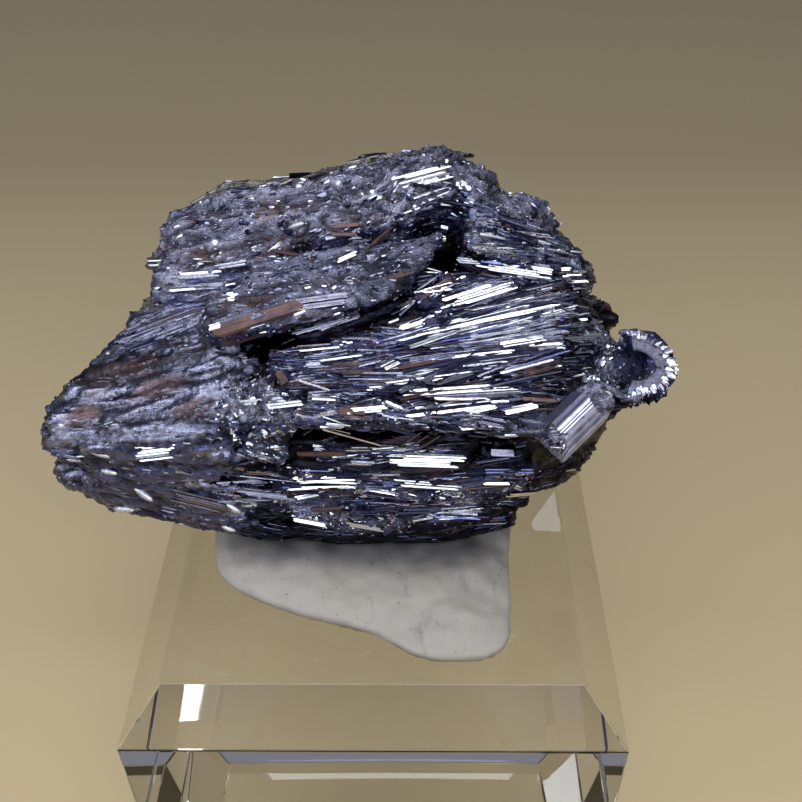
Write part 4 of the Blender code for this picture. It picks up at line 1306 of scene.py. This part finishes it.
@dataclass
class Studio:
    """Camera, soft lights, dim room and pale floor.  Distances are in metres."""

    camera_place: tuple[float, float, float] = (0.004, -0.0765, 0.1037)
    camera_yaw: float = -0.016
    camera_pitch: float = 0.707
    camera_roll: float = -0.011
    focal_length_px: float = 996.0
    image_width_px: float = 802.0
    sensor_mm: float = 36.0
    light_target: tuple[float, float, float] = (0.0, 0.008, 0.04)
    zenith: tuple[float, float, float] = (0.24, 0.26, 0.35)
    horizon: tuple[float, float, float] = (0.04, 0.045, 0.065)
    floor_radius: float = 0.9
    floor_gap: float = 0.00002

    def camera_turn(self) -> Matrix:
        """Returns the camera's turn."""
        return (Matrix.Rotation(-self.camera_yaw, 3, "Z")
                @ Matrix.Rotation(math.pi / 2 - self.camera_pitch, 3, "X")
                @ Matrix.Rotation(self.camera_roll, 3, "Z"))

    def place_camera(self) -> None:
        """Puts the camera at the display view."""
        data = bpy.data.cameras.new("display_view")
        data.sensor_width = self.sensor_mm
        data.lens = self.sensor_mm * self.focal_length_px / self.image_width_px
        data.clip_start = MM
        camera = linked("display_view", data)
        camera.matrix_world = Matrix.Translation(self.camera_place) @ self.camera_turn().to_4x4()
        bpy.context.scene.camera = camera

    def gleam(self, place: Vector, axis: Vector, normal: Vector,
              tolerance: float = 4.0) -> Vector | None:
        """Returns the way a facet has to look to send a softbox's light to the display view.

        Only a crystal's turn comes from this, never its colour.

        Args:
            place: The facet's place, in millimetres.
            axis: The crystal's direction, which the facet holds.
            normal: The skin's normal; of several ways the nearest to it is taken.
            tolerance: Degrees by which the facet may miss the crystal's direction.

        Returns:
            The facet's normal, or None where no softbox can be seen in it.
        """
        to_camera = (Vector(self.camera_place) / MM - place).normalized()
        ways = [(to_camera + (spot - place).normalized()).normalized()
                for softbox in SOFTBOXES for spot in softbox.spots()]
        limit = math.sin(math.radians(tolerance))
        ways = [way for way in ways if abs(way.dot(axis)) <= limit]
        return max(ways, key=normal.dot, default=None)

    def sight(self, pixel: tuple[float, ...]) -> tuple[Vector, Vector]:
        """Returns the display view's place, in millimetres, and its line through a pixel.

        Args:
            pixel: Column and row in the square image of the display view.
        """
        middle = self.image_width_px / 2
        line = Vector(((pixel[0] - middle) / self.focal_length_px,
                       (middle - pixel[1]) / self.focal_length_px, -1.0))
        return Vector(self.camera_place) / MM, (self.camera_turn() @ line).normalized()

    def landed(self, spot: tuple[float, ...], solid: Surface) -> tuple[float, ...]:
        """Returns a place as it is, and a pixel as the place that it shows.

        Args:
            spot: A place in millimetres, or a pixel of the display view.
            solid: What the pixel has to show.

        Returns:
            The place, for a pixel to a tenth of a millimetre.
        """
        if len(spot) == 3:
            return spot
        return tuple(round(part, 1) for part in solid.tree.ray_cast(*self.sight(spot))[0])

    def light_room(self) -> None:
        """Adds the lights and the dim room that the crystals mirror."""
        for softbox in SOFTBOXES:
            softbox.light(self.light_target)
        world = bpy.data.worlds.new("dim_room")
        world.use_nodes = True
        tree = world.node_tree
        way = tree.nodes.new("ShaderNodeTexCoord")
        parts = tree.nodes.new("ShaderNodeSeparateXYZ")
        blend = tree.nodes.new("ShaderNodeMix")
        blend.data_type = "RGBA"
        blend.inputs[6].default_value = (*self.horizon, 1.0)
        blend.inputs[7].default_value = (*self.zenith, 1.0)
        tree.links.new(way.outputs["Generated"], parts.inputs[0])
        tree.links.new(parts.outputs["Z"], blend.inputs[0])
        tree.links.new(blend.outputs[2], tree.nodes["Background"].inputs["Color"])
        bpy.context.scene.world = world

    def lay_floor(self) -> None:
        """Lays the round floor."""
        mesh = bmesh.new()
        bmesh.ops.create_circle(mesh, cap_ends=True, segments=96, radius=self.floor_radius)
        bmesh.ops.translate(mesh, vec=(0, 0, -self.floor_gap), verts=mesh.verts)
        data = stored("floor", mesh)
        data.materials.append(FloorFinish().material())
        linked("floor", data)

    def build(self) -> None:
        """Sets up the whole studio."""
        self.place_camera()
        self.light_room()
        self.lay_floor()
        bpy.context.scene.view_settings.view_transform = "Standard"


# --------------------------------------------------------------------------------------------
# The spray
# --------------------------------------------------------------------------------------------


@dataclass(frozen=True)
class Lump:
    """A rounded swelling of the skin, in millimetres."""

    place: tuple[float, float, float]
    reach: tuple[float, float, float]


@dataclass
class Massif:
    """The spray's skin: the solid remade fine, then roughened along the growth."""

    voxel_mm: float = 0.38
    rib_mm: float = 0.75
    crack_mm: float = 1.5
    knob_mm: float = 2.4
    sink_mm: float = 0.06
    crack_depth: float = 0.30
    stain_strength: float = 0.85
    # Painted shade on skin that faces down.
    painted_underside_shade: tuple[float, float, float] = (0.80, 0.75, 0.42)
    node: str = "stibnite_spray"
    lumps: tuple[Lump, ...] = (Lump((-11.2, -6.6, 37.5), (5.0, 2.3, 2.1)),
                               Lump((-12.2, -6.2, 32.9), (4.6, 1.8, 1.4)))

    def remade(self) -> bpy.types.Mesh:
        """Returns an even fine mesh of the spray's solid."""
        return remeshed(self.node, self.voxel_mm, self.lumps)

    def stained(self, tones: np.ndarray, places: np.ndarray, axes: np.ndarray,
                swell: np.ndarray) -> np.ndarray:
        """Colours the stained patches.

        Args:
            tones: Each vertex's tone, with its polish as alpha.
            places: The vertices.
            axes: The growth direction at each.
            swell: A pattern that frays the patches' edges.

        Returns:
            The new tones.
        """
        for stain in STAINS:
            apart = places - stain.centre
            forth = (apart * axes).sum(1)
            aside = np.linalg.norm(apart - forth[:, None] * axes, axis=1)
            share = np.hypot(forth / stain.reach[0], aside / stain.reach[1]) + 0.5 * swell
            weight = np.clip((1.0 - share) * 2.2, 0.0, self.stain_strength)[:, None]
            tones += (np.array(polished(stain.tone)) - tones) * weight
        return tones

    def roughen(self, mesh: bpy.types.Mesh, growth: GrowthField) -> None:
        """Moves the skin in and out in ribs that follow the growth, and colours it, with painted
        shade in the cracks and on skin that faces down.

        Args:
            mesh: The skin.
            growth: The growth's directions.
        """
        places = vertex_array(mesh)
        normals = np.zeros(len(places) * 3, np.float32)
        mesh.vertices.foreach_get("normal", normals)
        normals = normals.reshape(-1, 3)
        axes, nearest = growth.read(places)
        along = (places * axes).sum(1)[:, None] * axes
        habits = [HABITS[growth.flows[index].zone] for index in nearest]
        stretch = np.array([habit.stretch for habit in habits])[:, None]
        drawn = places - along * (1.0 - 1.0 / stretch)
        swell = np.array([noise.fractal(spot, 0.6, 2.2, 3)
                          for spot in (drawn / self.rib_mm).tolist()])
        cracks = np.array([abs(noise.noise(spot)) for spot in (drawn / self.crack_mm).tolist()])
        broad = np.array([noise.noise(spot) for spot in (drawn / self.knob_mm).tolist()])
        ribs = (0.8 * swell + 1.4 * np.minimum(cracks, self.crack_depth) - self.crack_depth
                + 0.7 * broad)
        relief = np.array([habit.relief for habit in habits])
        moved = places + normals * (ribs * relief - self.sink_mm)[:, None]
        mesh.vertices.foreach_set("co", (moved * MM).ravel())
        tones = np.array([(*habit.skin.value, WEATHERED) for habit in habits])
        tones = self.stained(tones, places, axes, swell)
        # Painted shade and highlight: the skin is darkened in the cracks and valleys of the ribs
        # and lightened on their crests.
        tones[:, :3] *= np.clip(0.95 + 1.3 * ribs, 0.25, 1.25)[:, None]
        # Painted shade: skin that faces down is darkened, its blue kept more than red and green,
        # in zones whose habit has shade.
        shade = np.array([habit.shade for habit in habits])
        under = (np.clip(2.0 - 4.0 * normals[:, 2], 0.0, 1.0) * shade)[:, None]
        tones[:, :3] *= 1.0 - under * self.painted_underside_shade
        add_column(mesh, TONE, "FLOAT_COLOR", tones)
        add_column(mesh, GROWTH, "FLOAT_VECTOR", drawn)
        add_column(mesh, PEBBLE, "FLOAT", [habit.pebble for habit in habits])
        mesh.update()

    def build(self, mesh: bpy.types.Mesh, growth: GrowthField) -> bpy.types.Mesh:
        """Builds the skin and shows it in place of the solid.

        Args:
            mesh: The remade solid.
            growth: The growth's directions.

        Returns:
            The skin's mesh.
        """
        self.roughen(mesh, growth)
        mesh.shade_smooth()
        finish = SkinFinish("massive_stibnite", roughness=(0.13, 0.30))
        piece = show("spray_massif", mesh, finish.material())
        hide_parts(self.node)
        return mesh


@dataclass(frozen=True)
class Root:
    """A place on the skin where something grows, and how crystals grow there."""

    place: Vector
    normal: Vector
    axis: Vector
    habit: Habit
    stand: CrystalStand


@dataclass
class Overgrowth:
    """Crystals in bundles all over the skin."""

    surface: Surface
    growth: GrowthField
    forms: CrystalForms
    studio: Studio
    seed: int = 11
    steep: float = 0.52
    leaning: float = 0.5
    leaning_mm: float = 1.6
    cut_back: float = 0.45
    alike_share: float = 0.65
    overlap: float = 0.85
    straightness: float = 0.93
    highest_mm: float = 0.5
    grit_mm: tuple[float, float] = (0.07, 0.20)
    stands: dict = field(default_factory=dict)

    def __post_init__(self) -> None:
        """Starts the random numbers."""
        self.chance = random.Random(self.seed)

    def stand(self, zone: Zone) -> CrystalStand:
        """Returns the stand that holds a zone's crystals."""
        if zone not in self.stands:
            self.stands[zone] = CrystalStand(f"crystals_{zone.value}", self.forms)
        return self.stands[zone]

    def turned(self, axis: Vector, spread: float) -> Quaternion:
        """Returns a random turn about an axis, its spread in degrees."""
        return Quaternion(axis, math.radians(self.chance.gauss(0.0, spread)))

    def hollow_near(self, place: Vector, axis: Vector, length: float) -> bool:
        """Returns whether a bundle that lies outside the hollows would reach into one.

        Args:
            place: The bundle's middle.
            axis: Its direction.
            length: Its length.
        """
        spots = [place, place - axis * length / 2, place + axis * length / 2]
        nearest = self.growth.read(np.array(spots))[1]
        zones = [self.growth.flows[index].zone for index in nearest]
        return zones[0] is not Zone.HOLLOW and Zone.HOLLOW in zones

    def grow_bundle(self, root: Root) -> None:
        """Grows one bundle of nearly parallel crystals."""
        chance, habit, normal, axis = self.chance, root.habit, root.normal, root.axis
        lean = normal.dot(axis)
        sway = self.turned(normal, habit.sway)
        if abs(lean) < self.leaning:
            axis = (axis - normal * lean * 0.8).normalized()
        axis = sway @ axis
        across = normal.cross(axis).normalized()
        length = chance.uniform(*habit.length)
        if abs(lean) >= self.leaning:
            length = min(length, self.leaning_mm)
        width = chance.uniform(*habit.width)
        tone = polished(pick(chance, habit.tones))
        aside = self.turned(axis, habit.roll) @ normal
        facing = aside
        form = pick(chance, habit.forms)
        if self.hollow_near(root.place, axis, length):
            length *= self.cut_back
        if chance.random() < habit.gleam:
            tone = (*Tone.SILVER.value, POLISHED)
            form = habit.gleam_form
            gleam = self.studio.gleam(root.place, axis, normal, habit.tolerance)
            if gleam is not None and gleam.dot(normal) > 0.2:
                facing = gleam
        # Painted shade: a crystal whose broad side faces steeply sideways or down gets the dark
        # ink tone.
        elif facing.z < self.steep and chance.random() < habit.shade:
            tone = polished(Tone.INK)
        rise = chance.uniform(*habit.rise)
        count = chance.randint(*habit.bundle)
        for index in range(count):
            shift = (index - (count - 1) / 2) * (width * self.overlap)
            alike = chance.random() < self.alike_share
            own_form = form if alike else pick(chance, habit.forms)
            own_tone = tone if alike else polished(pick(chance, habit.tones))
            own = replace(root, place=root.place + across * shift, axis=axis)
            self.grow_crystal(own, facing if alike else aside, (width, length), rise, own_form,
                              own_tone)

    def grow_crystal(self, root: Root, facing: Vector, size: tuple[float, float], rise: float,
                     form: Form, tone: tuple) -> None:
        """Grows one crystal of a bundle, fitted to the skin at both ends.

        Args:
            root: Its middle and direction.
            facing: The way its broad side looks.
            size: The bundle's width and length.
            rise: How far the bundle stands over the skin.
            form: Its shape.
            tone: Its colour, with its polish as alpha.
        """
        chance, axis, normal = self.chance, root.axis, root.normal
        width, length = size
        own = length * chance.uniform(0.55, 1.1)
        slide = chance.uniform(-0.2, 0.2) * length
        start = self.surface.drop(root.place + axis * (slide - own / 2), normal)
        end = self.surface.drop(root.place + axis * (slide + own / 2), normal)
        if start is None and end is None:
            return
        if start is None:
            start = end - axis * own * 0.2
        if end is None:
            end = start + axis * own * 0.2
        if (end - start).dot(axis) < self.straightness * (end - start).length:
            return
        for share in (0.2, 0.5, 0.8):
            spot = start.lerp(end, share)
            middle = self.surface.drop(spot, normal)
            if middle is None or (spot - middle).dot(normal) > self.highest_mm:
                return
        lift = normal * (rise + chance.uniform(-0.08, 0.12))
        own_width = width * chance.uniform(0.6, 1.3)
        own_turn = self.turned(axis, 8.0 - 6.0 * tone[3])
        root.stand.add(form, start + lift, end + lift, own_turn @ facing, own_width,
                       own_width * chance.uniform(*root.habit.flatness), shaded(tone, chance))

    def grow_grit(self, root: Root) -> None:
        """Grows one tiny grain that sparkles on the skin."""
        chance, habit, normal = self.chance, root.habit, root.normal
        axis = (root.axis - normal * normal.dot(root.axis) * 0.9).normalized()
        axis = self.turned(normal, 2.0 * habit.sway) @ axis
        facing = self.turned(axis, 24.0) @ normal
        width = chance.uniform(*self.grit_mm)
        length = width * chance.uniform(1.0, 1.0 + 0.6 * habit.stretch)
        start = root.place + normal * chance.uniform(-0.10, 0.02) - axis * length / 2
        tone = polished(pick(chance, habit.tones))
        root.stand.add(chance.choice((Form.CHIP, Form.SHARD)), start, start + axis * length,
                       facing, width, width * 0.8,
                       shaded((*tone[:3], max(tone[3], 0.7)), chance))

    def grow(self) -> None:
        """Grows crystals over the whole skin."""
        generator = np.random.default_rng(self.seed)
        densest = max(habit.grit for habit in HABITS.values())
        places, normals = self.surface.scatter(densest, generator)
        axes, nearest = self.growth.read(places + generator.normal(0.0, 0.5, places.shape))
        for place, normal, axis, index in zip(places.tolist(), normals.tolist(), axes.tolist(),
                                              nearest):
            zone = self.growth.flows[index].zone
            habit = HABITS[zone]
            root = Root(Vector(place), Vector(normal), Vector(axis), habit, self.stand(zone))
            if self.chance.random() * densest < habit.density:
                self.grow_bundle(root)
            if self.chance.random() * densest < habit.grit:
                self.grow_grit(root)

    def plant(self) -> None:
        """Turns every stand into a piece."""
        for zone, stand in self.stands.items():
            worn = zone in (Zone.LOBE, Zone.SHELL)
            stand.plant(StibniteFinish(f"stibnite_{zone.value}",
                                       roughness=(0.22, 0.42) if worn else (0.08, 0.26)))


@dataclass
class StandoutCrystals:
    """The single crystals that catch the eye, set where the display view shows them."""

    surface: Surface
    forms: CrystalForms
    studio: Studio
    strip_mm: float = 0.22
    dull_share: float = 0.2
    dull_turn: tuple[float, float] = (9.0, 18.0)
    knob_lift_mm: float = -0.12
    knob_swell: float = 1.5
    thinnest_mm: float = 0.25
    seed: int = 23

    LOOKS = {Mark.GLINT: (Tone.SILVER, POLISHED, ((Form.LATH, 1),)),
             Mark.KNOB: (Tone.SILVER, 0.7, ((Form.BEAD, 1),)),
             Mark.BROWN: (Tone.UMBER, TARNISHED, ((Form.LATH, 1), (Form.CHISEL, 1))),
             Mark.BLUE: (Tone.INDIGO, 0.8, ((Form.RIBBED, 1), (Form.LATH, 1))),
             Mark.GREY: (Tone.LILAC, 0.6, ((Form.RIBBED, 1), (Form.LATH, 1))),
             Mark.NEEDLE: (Tone.SILVER, 0.8, ((Form.NEEDLE, 1),)),
             Mark.DARK: (Tone.INK, WEATHERED, ((Form.RIBBED, 1), (Form.CHISEL, 1)))}
    TOLERANCES = {Mark.GLINT: 7.0, Mark.KNOB: 45.0}

    def on_skin(self, pixel: tuple[float, float]) -> tuple | None:
        """Returns the place and normal where the display view's pixel meets the skin."""
        place, normal = self.surface.tree.ray_cast(*self.studio.sight(pixel))[:2]
        return None if place is None else (place, normal)

    def set_crystal(self, landmark: Landmark, stand: CrystalStand,
                    chance: random.Random) -> bool:
        """Sets one landmark's crystal, or its strips side by side.

        Args:
            landmark: What stands out.
            stand: Where it is gathered.
            chance: Source of random numbers.

        Returns:
            Whether the landmark meets the skin.
        """
        ends = [self.on_skin(pixel) for pixel in (landmark.start, landmark.end)]
        if None in ends:
            return False
        (start, normal_a), (end, normal_b) = ends
        normal = (normal_a + normal_b).normalized()
        glint, knob = landmark.mark is Mark.GLINT, landmark.mark is Mark.KNOB
        tone, polish, forms = self.LOOKS[landmark.mark]
        axis = (end - start).normalized()
        facing = normal
        if landmark.mark in self.TOLERANCES:
            facing = self.studio.gleam((start + end) / 2, axis, normal,
                                       self.TOLERANCES[landmark.mark]) or normal
        if knob:
            axis = (axis - facing * facing.dot(axis)).normalized()
        facing = (facing - axis * facing.dot(axis)).normalized()
        across = facing.cross(axis)
        lift = normal * (self.knob_lift_mm if knob else landmark.lift)
        strips = landmark.strips
        if glint:
            strips = max(strips, round(landmark.width / self.strip_mm))
        step = landmark.width / strips
        for strip in range(strips):
            shift = across * (strip - (strips - 1) / 2) * step + lift
            shift += normal * chance.uniform(-0.08, 0.08)
            slide = (end - start) * chance.uniform(-0.14, 0.14) * (strips > 1)
            dull = glint and chance.random() < self.dull_share
            aside = chance.uniform(*self.dull_turn) if dull else 0.0
            turn = Quaternion(axis, math.radians(aside + chance.gauss(0.0, 2.0)))
            width = step * chance.uniform(0.7, 1.15) * (self.knob_swell if knob else 1.0)
            root = start + shift + slide
            form = Form.LATH if landmark.strips == 1 else pick(chance, forms)
            stand.add(Form.BEAD if knob else form, root, root + axis * (end - start).length,
                      turn @ facing, width, max(self.thinnest_mm, width * 0.6),
                      shaded((*tone.value, polish), chance, 0.12))
        return True

    def build(self) -> None:
        """Sets every landmark."""
        chance = random.Random(self.seed)
        sharp = CrystalStand("standout_crystals", self.forms)
        worn = CrystalStand("standout_bumps", self.forms)
        missed = [landmark.start for landmark in LANDMARKS if not self.set_crystal(
            landmark, worn if landmark.mark is Mark.KNOB else sharp, chance)]
        LOG.info("landmarks off the skin: %s", missed)
        sharp.plant(StibniteFinish("bright_stibnite", roughness=(0.07, 0.2), film=0.2))
        worn.plant(StibniteFinish("worn_stibnite", roughness=(0.3, 0.5), film=0.1,
                                  line_depth_mm=0.09))


@dataclass
class StubCrystal:
    """The thick striated crystal, broken square at both ends, that points up to the right."""

    start: tuple[float, float, float] = (16.1, -11.6, 43.2)
    end: tuple[float, float, float] = (20.4, -8.0, 45.3)
    facing: tuple[float, float, float] = (-0.3, -0.75, 0.8)
    width: float = 3.7
    thickness: float = 3.1
    ribs: int = 30
    rib_heights: tuple[float, float] = (-0.014, 0.008)
    edge_ease: float = 0.012
    sharp_edge: float = 0.5
    streak_reach: float = 0.14
    seed: int = 3

    CUTS = (((-0.26, 0.5, 0), (-1, 0.9, 0)), ((0.26, 0.5, 0), (1, 0.8, 0)),
            ((0.3, 0, 0.94), (0.5, 0.1, 1)), ((0, 0.3, 0.96), (-0.2, 0.5, 1)),
            ((0, 0, 0.03), (0.1, 0.25, -1)))

    def shape(self, chance: random.Random) -> bmesh.types.BMesh:
        """Returns the ribbed crystal, one unit long, wide and thick."""
        mesh = trim(unit_block(), self.CUTS)
        slice_block(mesh, self.ribs)
        heights = [chance.uniform(*self.rib_heights) for _ in range(self.ribs + 1)]
        for vert in mesh.verts:
            rib = round((vert.co.x + 0.5) * self.ribs)
            if vert.co.y > 0.0:
                vert.co.y += heights[rib]
            vert.co.z += heights[rib] * (1.2 if vert.co.z > 0.5 else -1.2)
        edges = [edge for edge in mesh.edges if edge.calc_face_angle(0.0) > self.sharp_edge]
        bmesh.ops.bevel(mesh, geom=edges, affect="EDGES", offset=self.edge_ease, segments=1,
                        profile=0.5, material=-1)
        return mesh

    def build(self) -> bpy.types.Object:
        """Builds the crystal."""
        chance = random.Random(self.seed)
        mesh = self.shape(chance)
        axis = Vector(self.end) - Vector(self.start)
        across = Vector(self.facing).cross(axis).normalized()
        out = axis.cross(across).normalized()
        place = Matrix((across * self.width, out * self.thickness, axis)).transposed().to_4x4()
        place.translation = Vector(self.start)
        bmesh.ops.transform(mesh, matrix=Matrix.Scale(MM, 4) @ place, verts=mesh.verts)
        bmesh.ops.recalc_face_normals(mesh, faces=mesh.faces)
        turned = place.inverted()

        def spread(spot: Vector) -> tuple[float, float]:
            """Returns the grain map's place for a vertex."""
            own = turned @ (spot / MM)
            return 4.0 * own.x + 2.0 * own.y, own.z

        map_grain(mesh, spread)
        data = stored("stub_crystal", mesh)
        layer = data.attributes.new(TONE, "FLOAT_COLOR", "FACE").data
        for face, spot in zip(data.polygons, layer):
            aside = (face.center / MM - Vector(self.start)).dot(across) / self.width
            tone, polish = chance.choice((Tone.WORN, Tone.LILAC, Tone.STEEL)), TARNISHED
            if face.normal.dot(out) > 0.9:
                streak = abs(aside) < self.streak_reach and chance.random() < 0.6
                tone = Tone.SILVER if streak else chance.choice((Tone.INK, Tone.WORN, Tone.LILAC))
                polish = 0.8
            # Painted shade: the side faces toward one side of the crystal get the dark ink tone.
            elif face.normal.dot(across) > 0.3:
                tone = Tone.INK
            spot.color = (*tone.value, polish)
        finish = StibniteFinish("stub_stibnite", roughness=(0.26, 0.42), line_depth_mm=0.05,
                                grain_depth_mm=0.16)
        return show("stub_crystal", data, finish.material())


@dataclass
class HookedShell:
    """The curled shell: a smooth worn band round a sparkling bowl, with a toothed outer rim."""

    centre: tuple[float, float, float] = (25.6, 0.4, 41.9)
    facing: tuple[float, float, float] = (0.0, -0.55, 0.84)
    band_radius: float = 2.55
    band_width: float = 0.85
    band_flatness: float = 0.36
    rise: float = 1.75
    first_turn: float = -105.0
    last_turn: float = 95.0
    steps: int = 48
    teeth: int = 38
    tooth_mm: float = 0.8
    rows: tuple[tuple[float, float], ...] = ((3.75, 1.9), (3.95, 1.45), (4.0, 0.6), (3.8, -0.4))
    squash: float = 0.86
    seed: int = 8

    def frame_matrix(self) -> Matrix:
        """Returns the shell's own frame: its axis is +Z."""
        turn = Vector(self.facing).to_track_quat("Z", "Y").to_matrix().to_4x4()
        return Matrix.Translation(self.centre) @ turn

    def build_band(self, chance: random.Random) -> None:
        """Builds the worn band."""
        mesh = bmesh.new()
        ring = bmesh.ops.create_circle(mesh, segments=10, radius=self.band_width)["verts"]
        bmesh.ops.scale(mesh, vec=(1.0, self.band_flatness, 1.0), verts=ring)
        bmesh.ops.rotate(mesh, cent=(0, 0, 0), verts=ring,
                         matrix=Matrix.Rotation(math.pi / 2, 3, "X"))
        bmesh.ops.translate(mesh, vec=(self.band_radius, 0, self.rise), verts=ring)
        bmesh.ops.rotate(mesh, cent=(0, 0, 0), verts=ring,
                         matrix=Matrix.Rotation(math.radians(self.first_turn), 3, "Z"))
        bmesh.ops.spin(mesh, geom=mesh.edges[:], cent=(0, 0, 0), axis=(0, 0, 1),
                       steps=self.steps, angle=math.radians(self.last_turn - self.first_turn))
        bmesh.ops.holes_fill(mesh, edges=mesh.edges[:], sides=0)
        map_grain(mesh, lambda spot: (1.6 * math.atan2(spot.y, spot.x),
                                      spot.xy.length + spot.z))
        for vert in mesh.verts:
            vert.co.y *= self.squash
            vert.co += UP * noise.noise(vert.co * 0.9) * 0.12
            vert.co *= 1.0 + noise.noise(vert.co * 2.6) * 0.03
        place = Matrix.Scale(MM, 4) @ self.frame_matrix()
        bmesh.ops.transform(mesh, matrix=place, verts=mesh.verts)
        bmesh.ops.recalc_face_normals(mesh, faces=mesh.faces)
        for face in mesh.faces:
            face.smooth = True
        data = stored("shell_band", mesh)
        for spot in data.attributes.new(TONE, "FLOAT_COLOR", "FACE").data:
            spot.color = (*chance.choice((Tone.WORN, Tone.LILAC, Tone.LILAC)).value, WEATHERED)
        finish = StibniteFinish("shell_stibnite", roughness=(0.28, 0.45), line_depth_mm=0.12,
                                grain_depth_mm=0.22)
        show("shell_band", data, finish.material())

    def build(self, forms: CrystalForms, studio: Studio) -> None:
        """Builds the band and the teeth.

        Args:
            forms: The crystal shapes.
            studio: Gives the way bright facets look.
        """
        chance = random.Random(self.seed)
        self.build_band(chance)
        place = self.frame_matrix()
        rim = CrystalStand("shell_teeth", forms)
        for row, (radius, level) in enumerate(self.rows):
            for tooth in range(self.teeth):
                share = (tooth + chance.uniform(0.2, 0.8)) / self.teeth
                angle = math.radians(self.first_turn + (self.last_turn - self.first_turn) * share)
                out = Vector((math.cos(angle), self.squash * math.sin(angle), 0.0))
                reach = radius + chance.uniform(-0.25, 0.25)
                start = place @ (out * (reach - self.tooth_mm) + UP * (level + 0.1))
                end = place @ (out * reach + UP * (level + chance.uniform(-0.2, 0.2)))
                facing = place.to_3x3() @ (UP + out * chance.uniform(-0.3, 0.6))
                if chance.random() < 0.5 - 0.1 * row:
                    facing = studio.gleam(end, (end - start).normalized(), facing) or facing
                tone = (*chance.choice((Tone.SILVER, Tone.STEEL, Tone.LILAC)).value, 0.8)
                rim.add(chance.choice((Form.CHIP, Form.CHISEL, Form.LATH)), start, end,
                        facing, chance.uniform(0.25, 0.6), chance.uniform(0.25, 0.45), tone)
        rim.plant(StibniteFinish("rim_stibnite", roughness=(0.12, 0.3), film=0.1))


# --------------------------------------------------------------------------------------------
# Putty and block
# --------------------------------------------------------------------------------------------


@dataclass
class PuttyCake:
    """The soft cake under the spray, pressed into low dents and folds."""

    node: str = "mounting_putty"
    block_top_mm: float = 20.0
    voxel_mm: float = 0.45
    smoothing: int = 8
    lump_mm: tuple[float, float] = (4.5, 0.35)
    dent_mm: tuple[float, float] = (1.3, 0.07)
    patch_mm: float = 2.2
    shadow_reach_mm: float = 3.2

    def build(self, surface: Surface) -> bpy.types.Object:
        """Builds the putty from its solid, with a painted shadow that darkens it near the spray.

        Args:
            surface: The spray's skin.

        Returns:
            The piece.
        """
        cake = remeshed(self.node, self.voxel_mm, smoothing=self.smoothing)
        places = vertex_array(cake)
        for index, spot in enumerate(places):
            lump = noise.fractal(Vector(spot) / self.lump_mm[0], 0.7, 2.0, 3) * self.lump_mm[1]
            dent = noise.noise(Vector(spot) / self.dent_mm[0]) * self.dent_mm[1]
            if spot[2] > self.block_top_mm + 1.0:
                places[index][2] += lump + dent
            else:
                places[index][2] = max(self.block_top_mm + 0.01, spot[2] - 0.35)
        cake.vertices.foreach_set("co", (places * MM).ravel())
        # Painted shadow of the spray: the putty is darkened near the spray, its edge frayed by
        # noise.
        near = np.array([surface.tree.find_nearest(Vector(spot))[3] for spot in places])
        patches = np.array([noise.noise(Vector(spot) / self.patch_mm) for spot in places])
        darkening = np.clip(1.05 - near / self.shadow_reach_mm + 0.35 * patches, 0.0, 0.9)
        add_column(cake, SPRAY_SHADOW, "FLOAT", darkening)
        cake.update()
        cake.shade_smooth()
        piece = show("putty_cake", cake, PuttyFinish().material())
        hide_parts(self.node)
        return piece


@dataclass
class DisplayBlock:
    """The clear block: chamfered round the top, every edge eased by polishing."""

    node: str = "display_block"
    side: float = 50.0
    height: float = 20.0
    chamfer_inset: float = 4.3
    chamfer_drop: float = 5.2
    edge_ease: float = 0.22

    def build(self) -> bpy.types.Object:
        """Builds the block."""
        mesh = bmesh.new()
        body_height = self.height - self.chamfer_drop
        bmesh.ops.create_cube(mesh, size=1.0)
        bmesh.ops.scale(mesh, vec=(self.side, self.side, body_height), verts=mesh.verts)
        bmesh.ops.translate(mesh, vec=(0, 0, body_height / 2), verts=mesh.verts)
        top = max(mesh.faces, key=lambda face: face.calc_center_median().z)
        raised = bmesh.ops.extrude_discrete_faces(mesh, faces=[top])["faces"][0]
        share = 1.0 - 2.0 * self.chamfer_inset / self.side
        bmesh.ops.scale(mesh, vec=(share, share, 1.0), verts=list(raised.verts))
        bmesh.ops.translate(mesh, vec=(0, 0, self.chamfer_drop), verts=list(raised.verts))
        bmesh.ops.bevel(mesh, geom=mesh.edges[:], affect="EDGES", offset=self.edge_ease,
                        segments=3, profile=0.5, material=-1)
        bmesh.ops.scale(mesh, vec=(MM, MM, MM), verts=mesh.verts)
        bmesh.ops.recalc_face_normals(mesh, faces=mesh.faces)
        piece = show("clear_display_block", stored("clear_display_block", mesh),
                     AcrylicFinish().material())
        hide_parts(self.node)
        return piece


# --------------------------------------------------------------------------------------------
# Whole
# --------------------------------------------------------------------------------------------


def main() -> None:
    """Builds the dressed part and its studio."""
    logging.basicConfig(level=logging.INFO, format="%(name)s: %(message)s")
    studio = Studio()
    studio.build()
    massif = Massif()
    solid = massif.remade()
    growth = GrowthField(FLOWS, studio, Surface(solid))
    surface = Surface(massif.build(solid, growth))
    forms = CrystalForms()
    overgrowth = Overgrowth(surface, growth, forms, studio)
    overgrowth.grow()
    overgrowth.plant()
    StandoutCrystals(surface, forms, studio).build()
    StubCrystal().build()
    HookedShell().build(forms, studio)
    PuttyCake().build(surface)
    DisplayBlock().build()


if __name__ == "__main__":
    main()
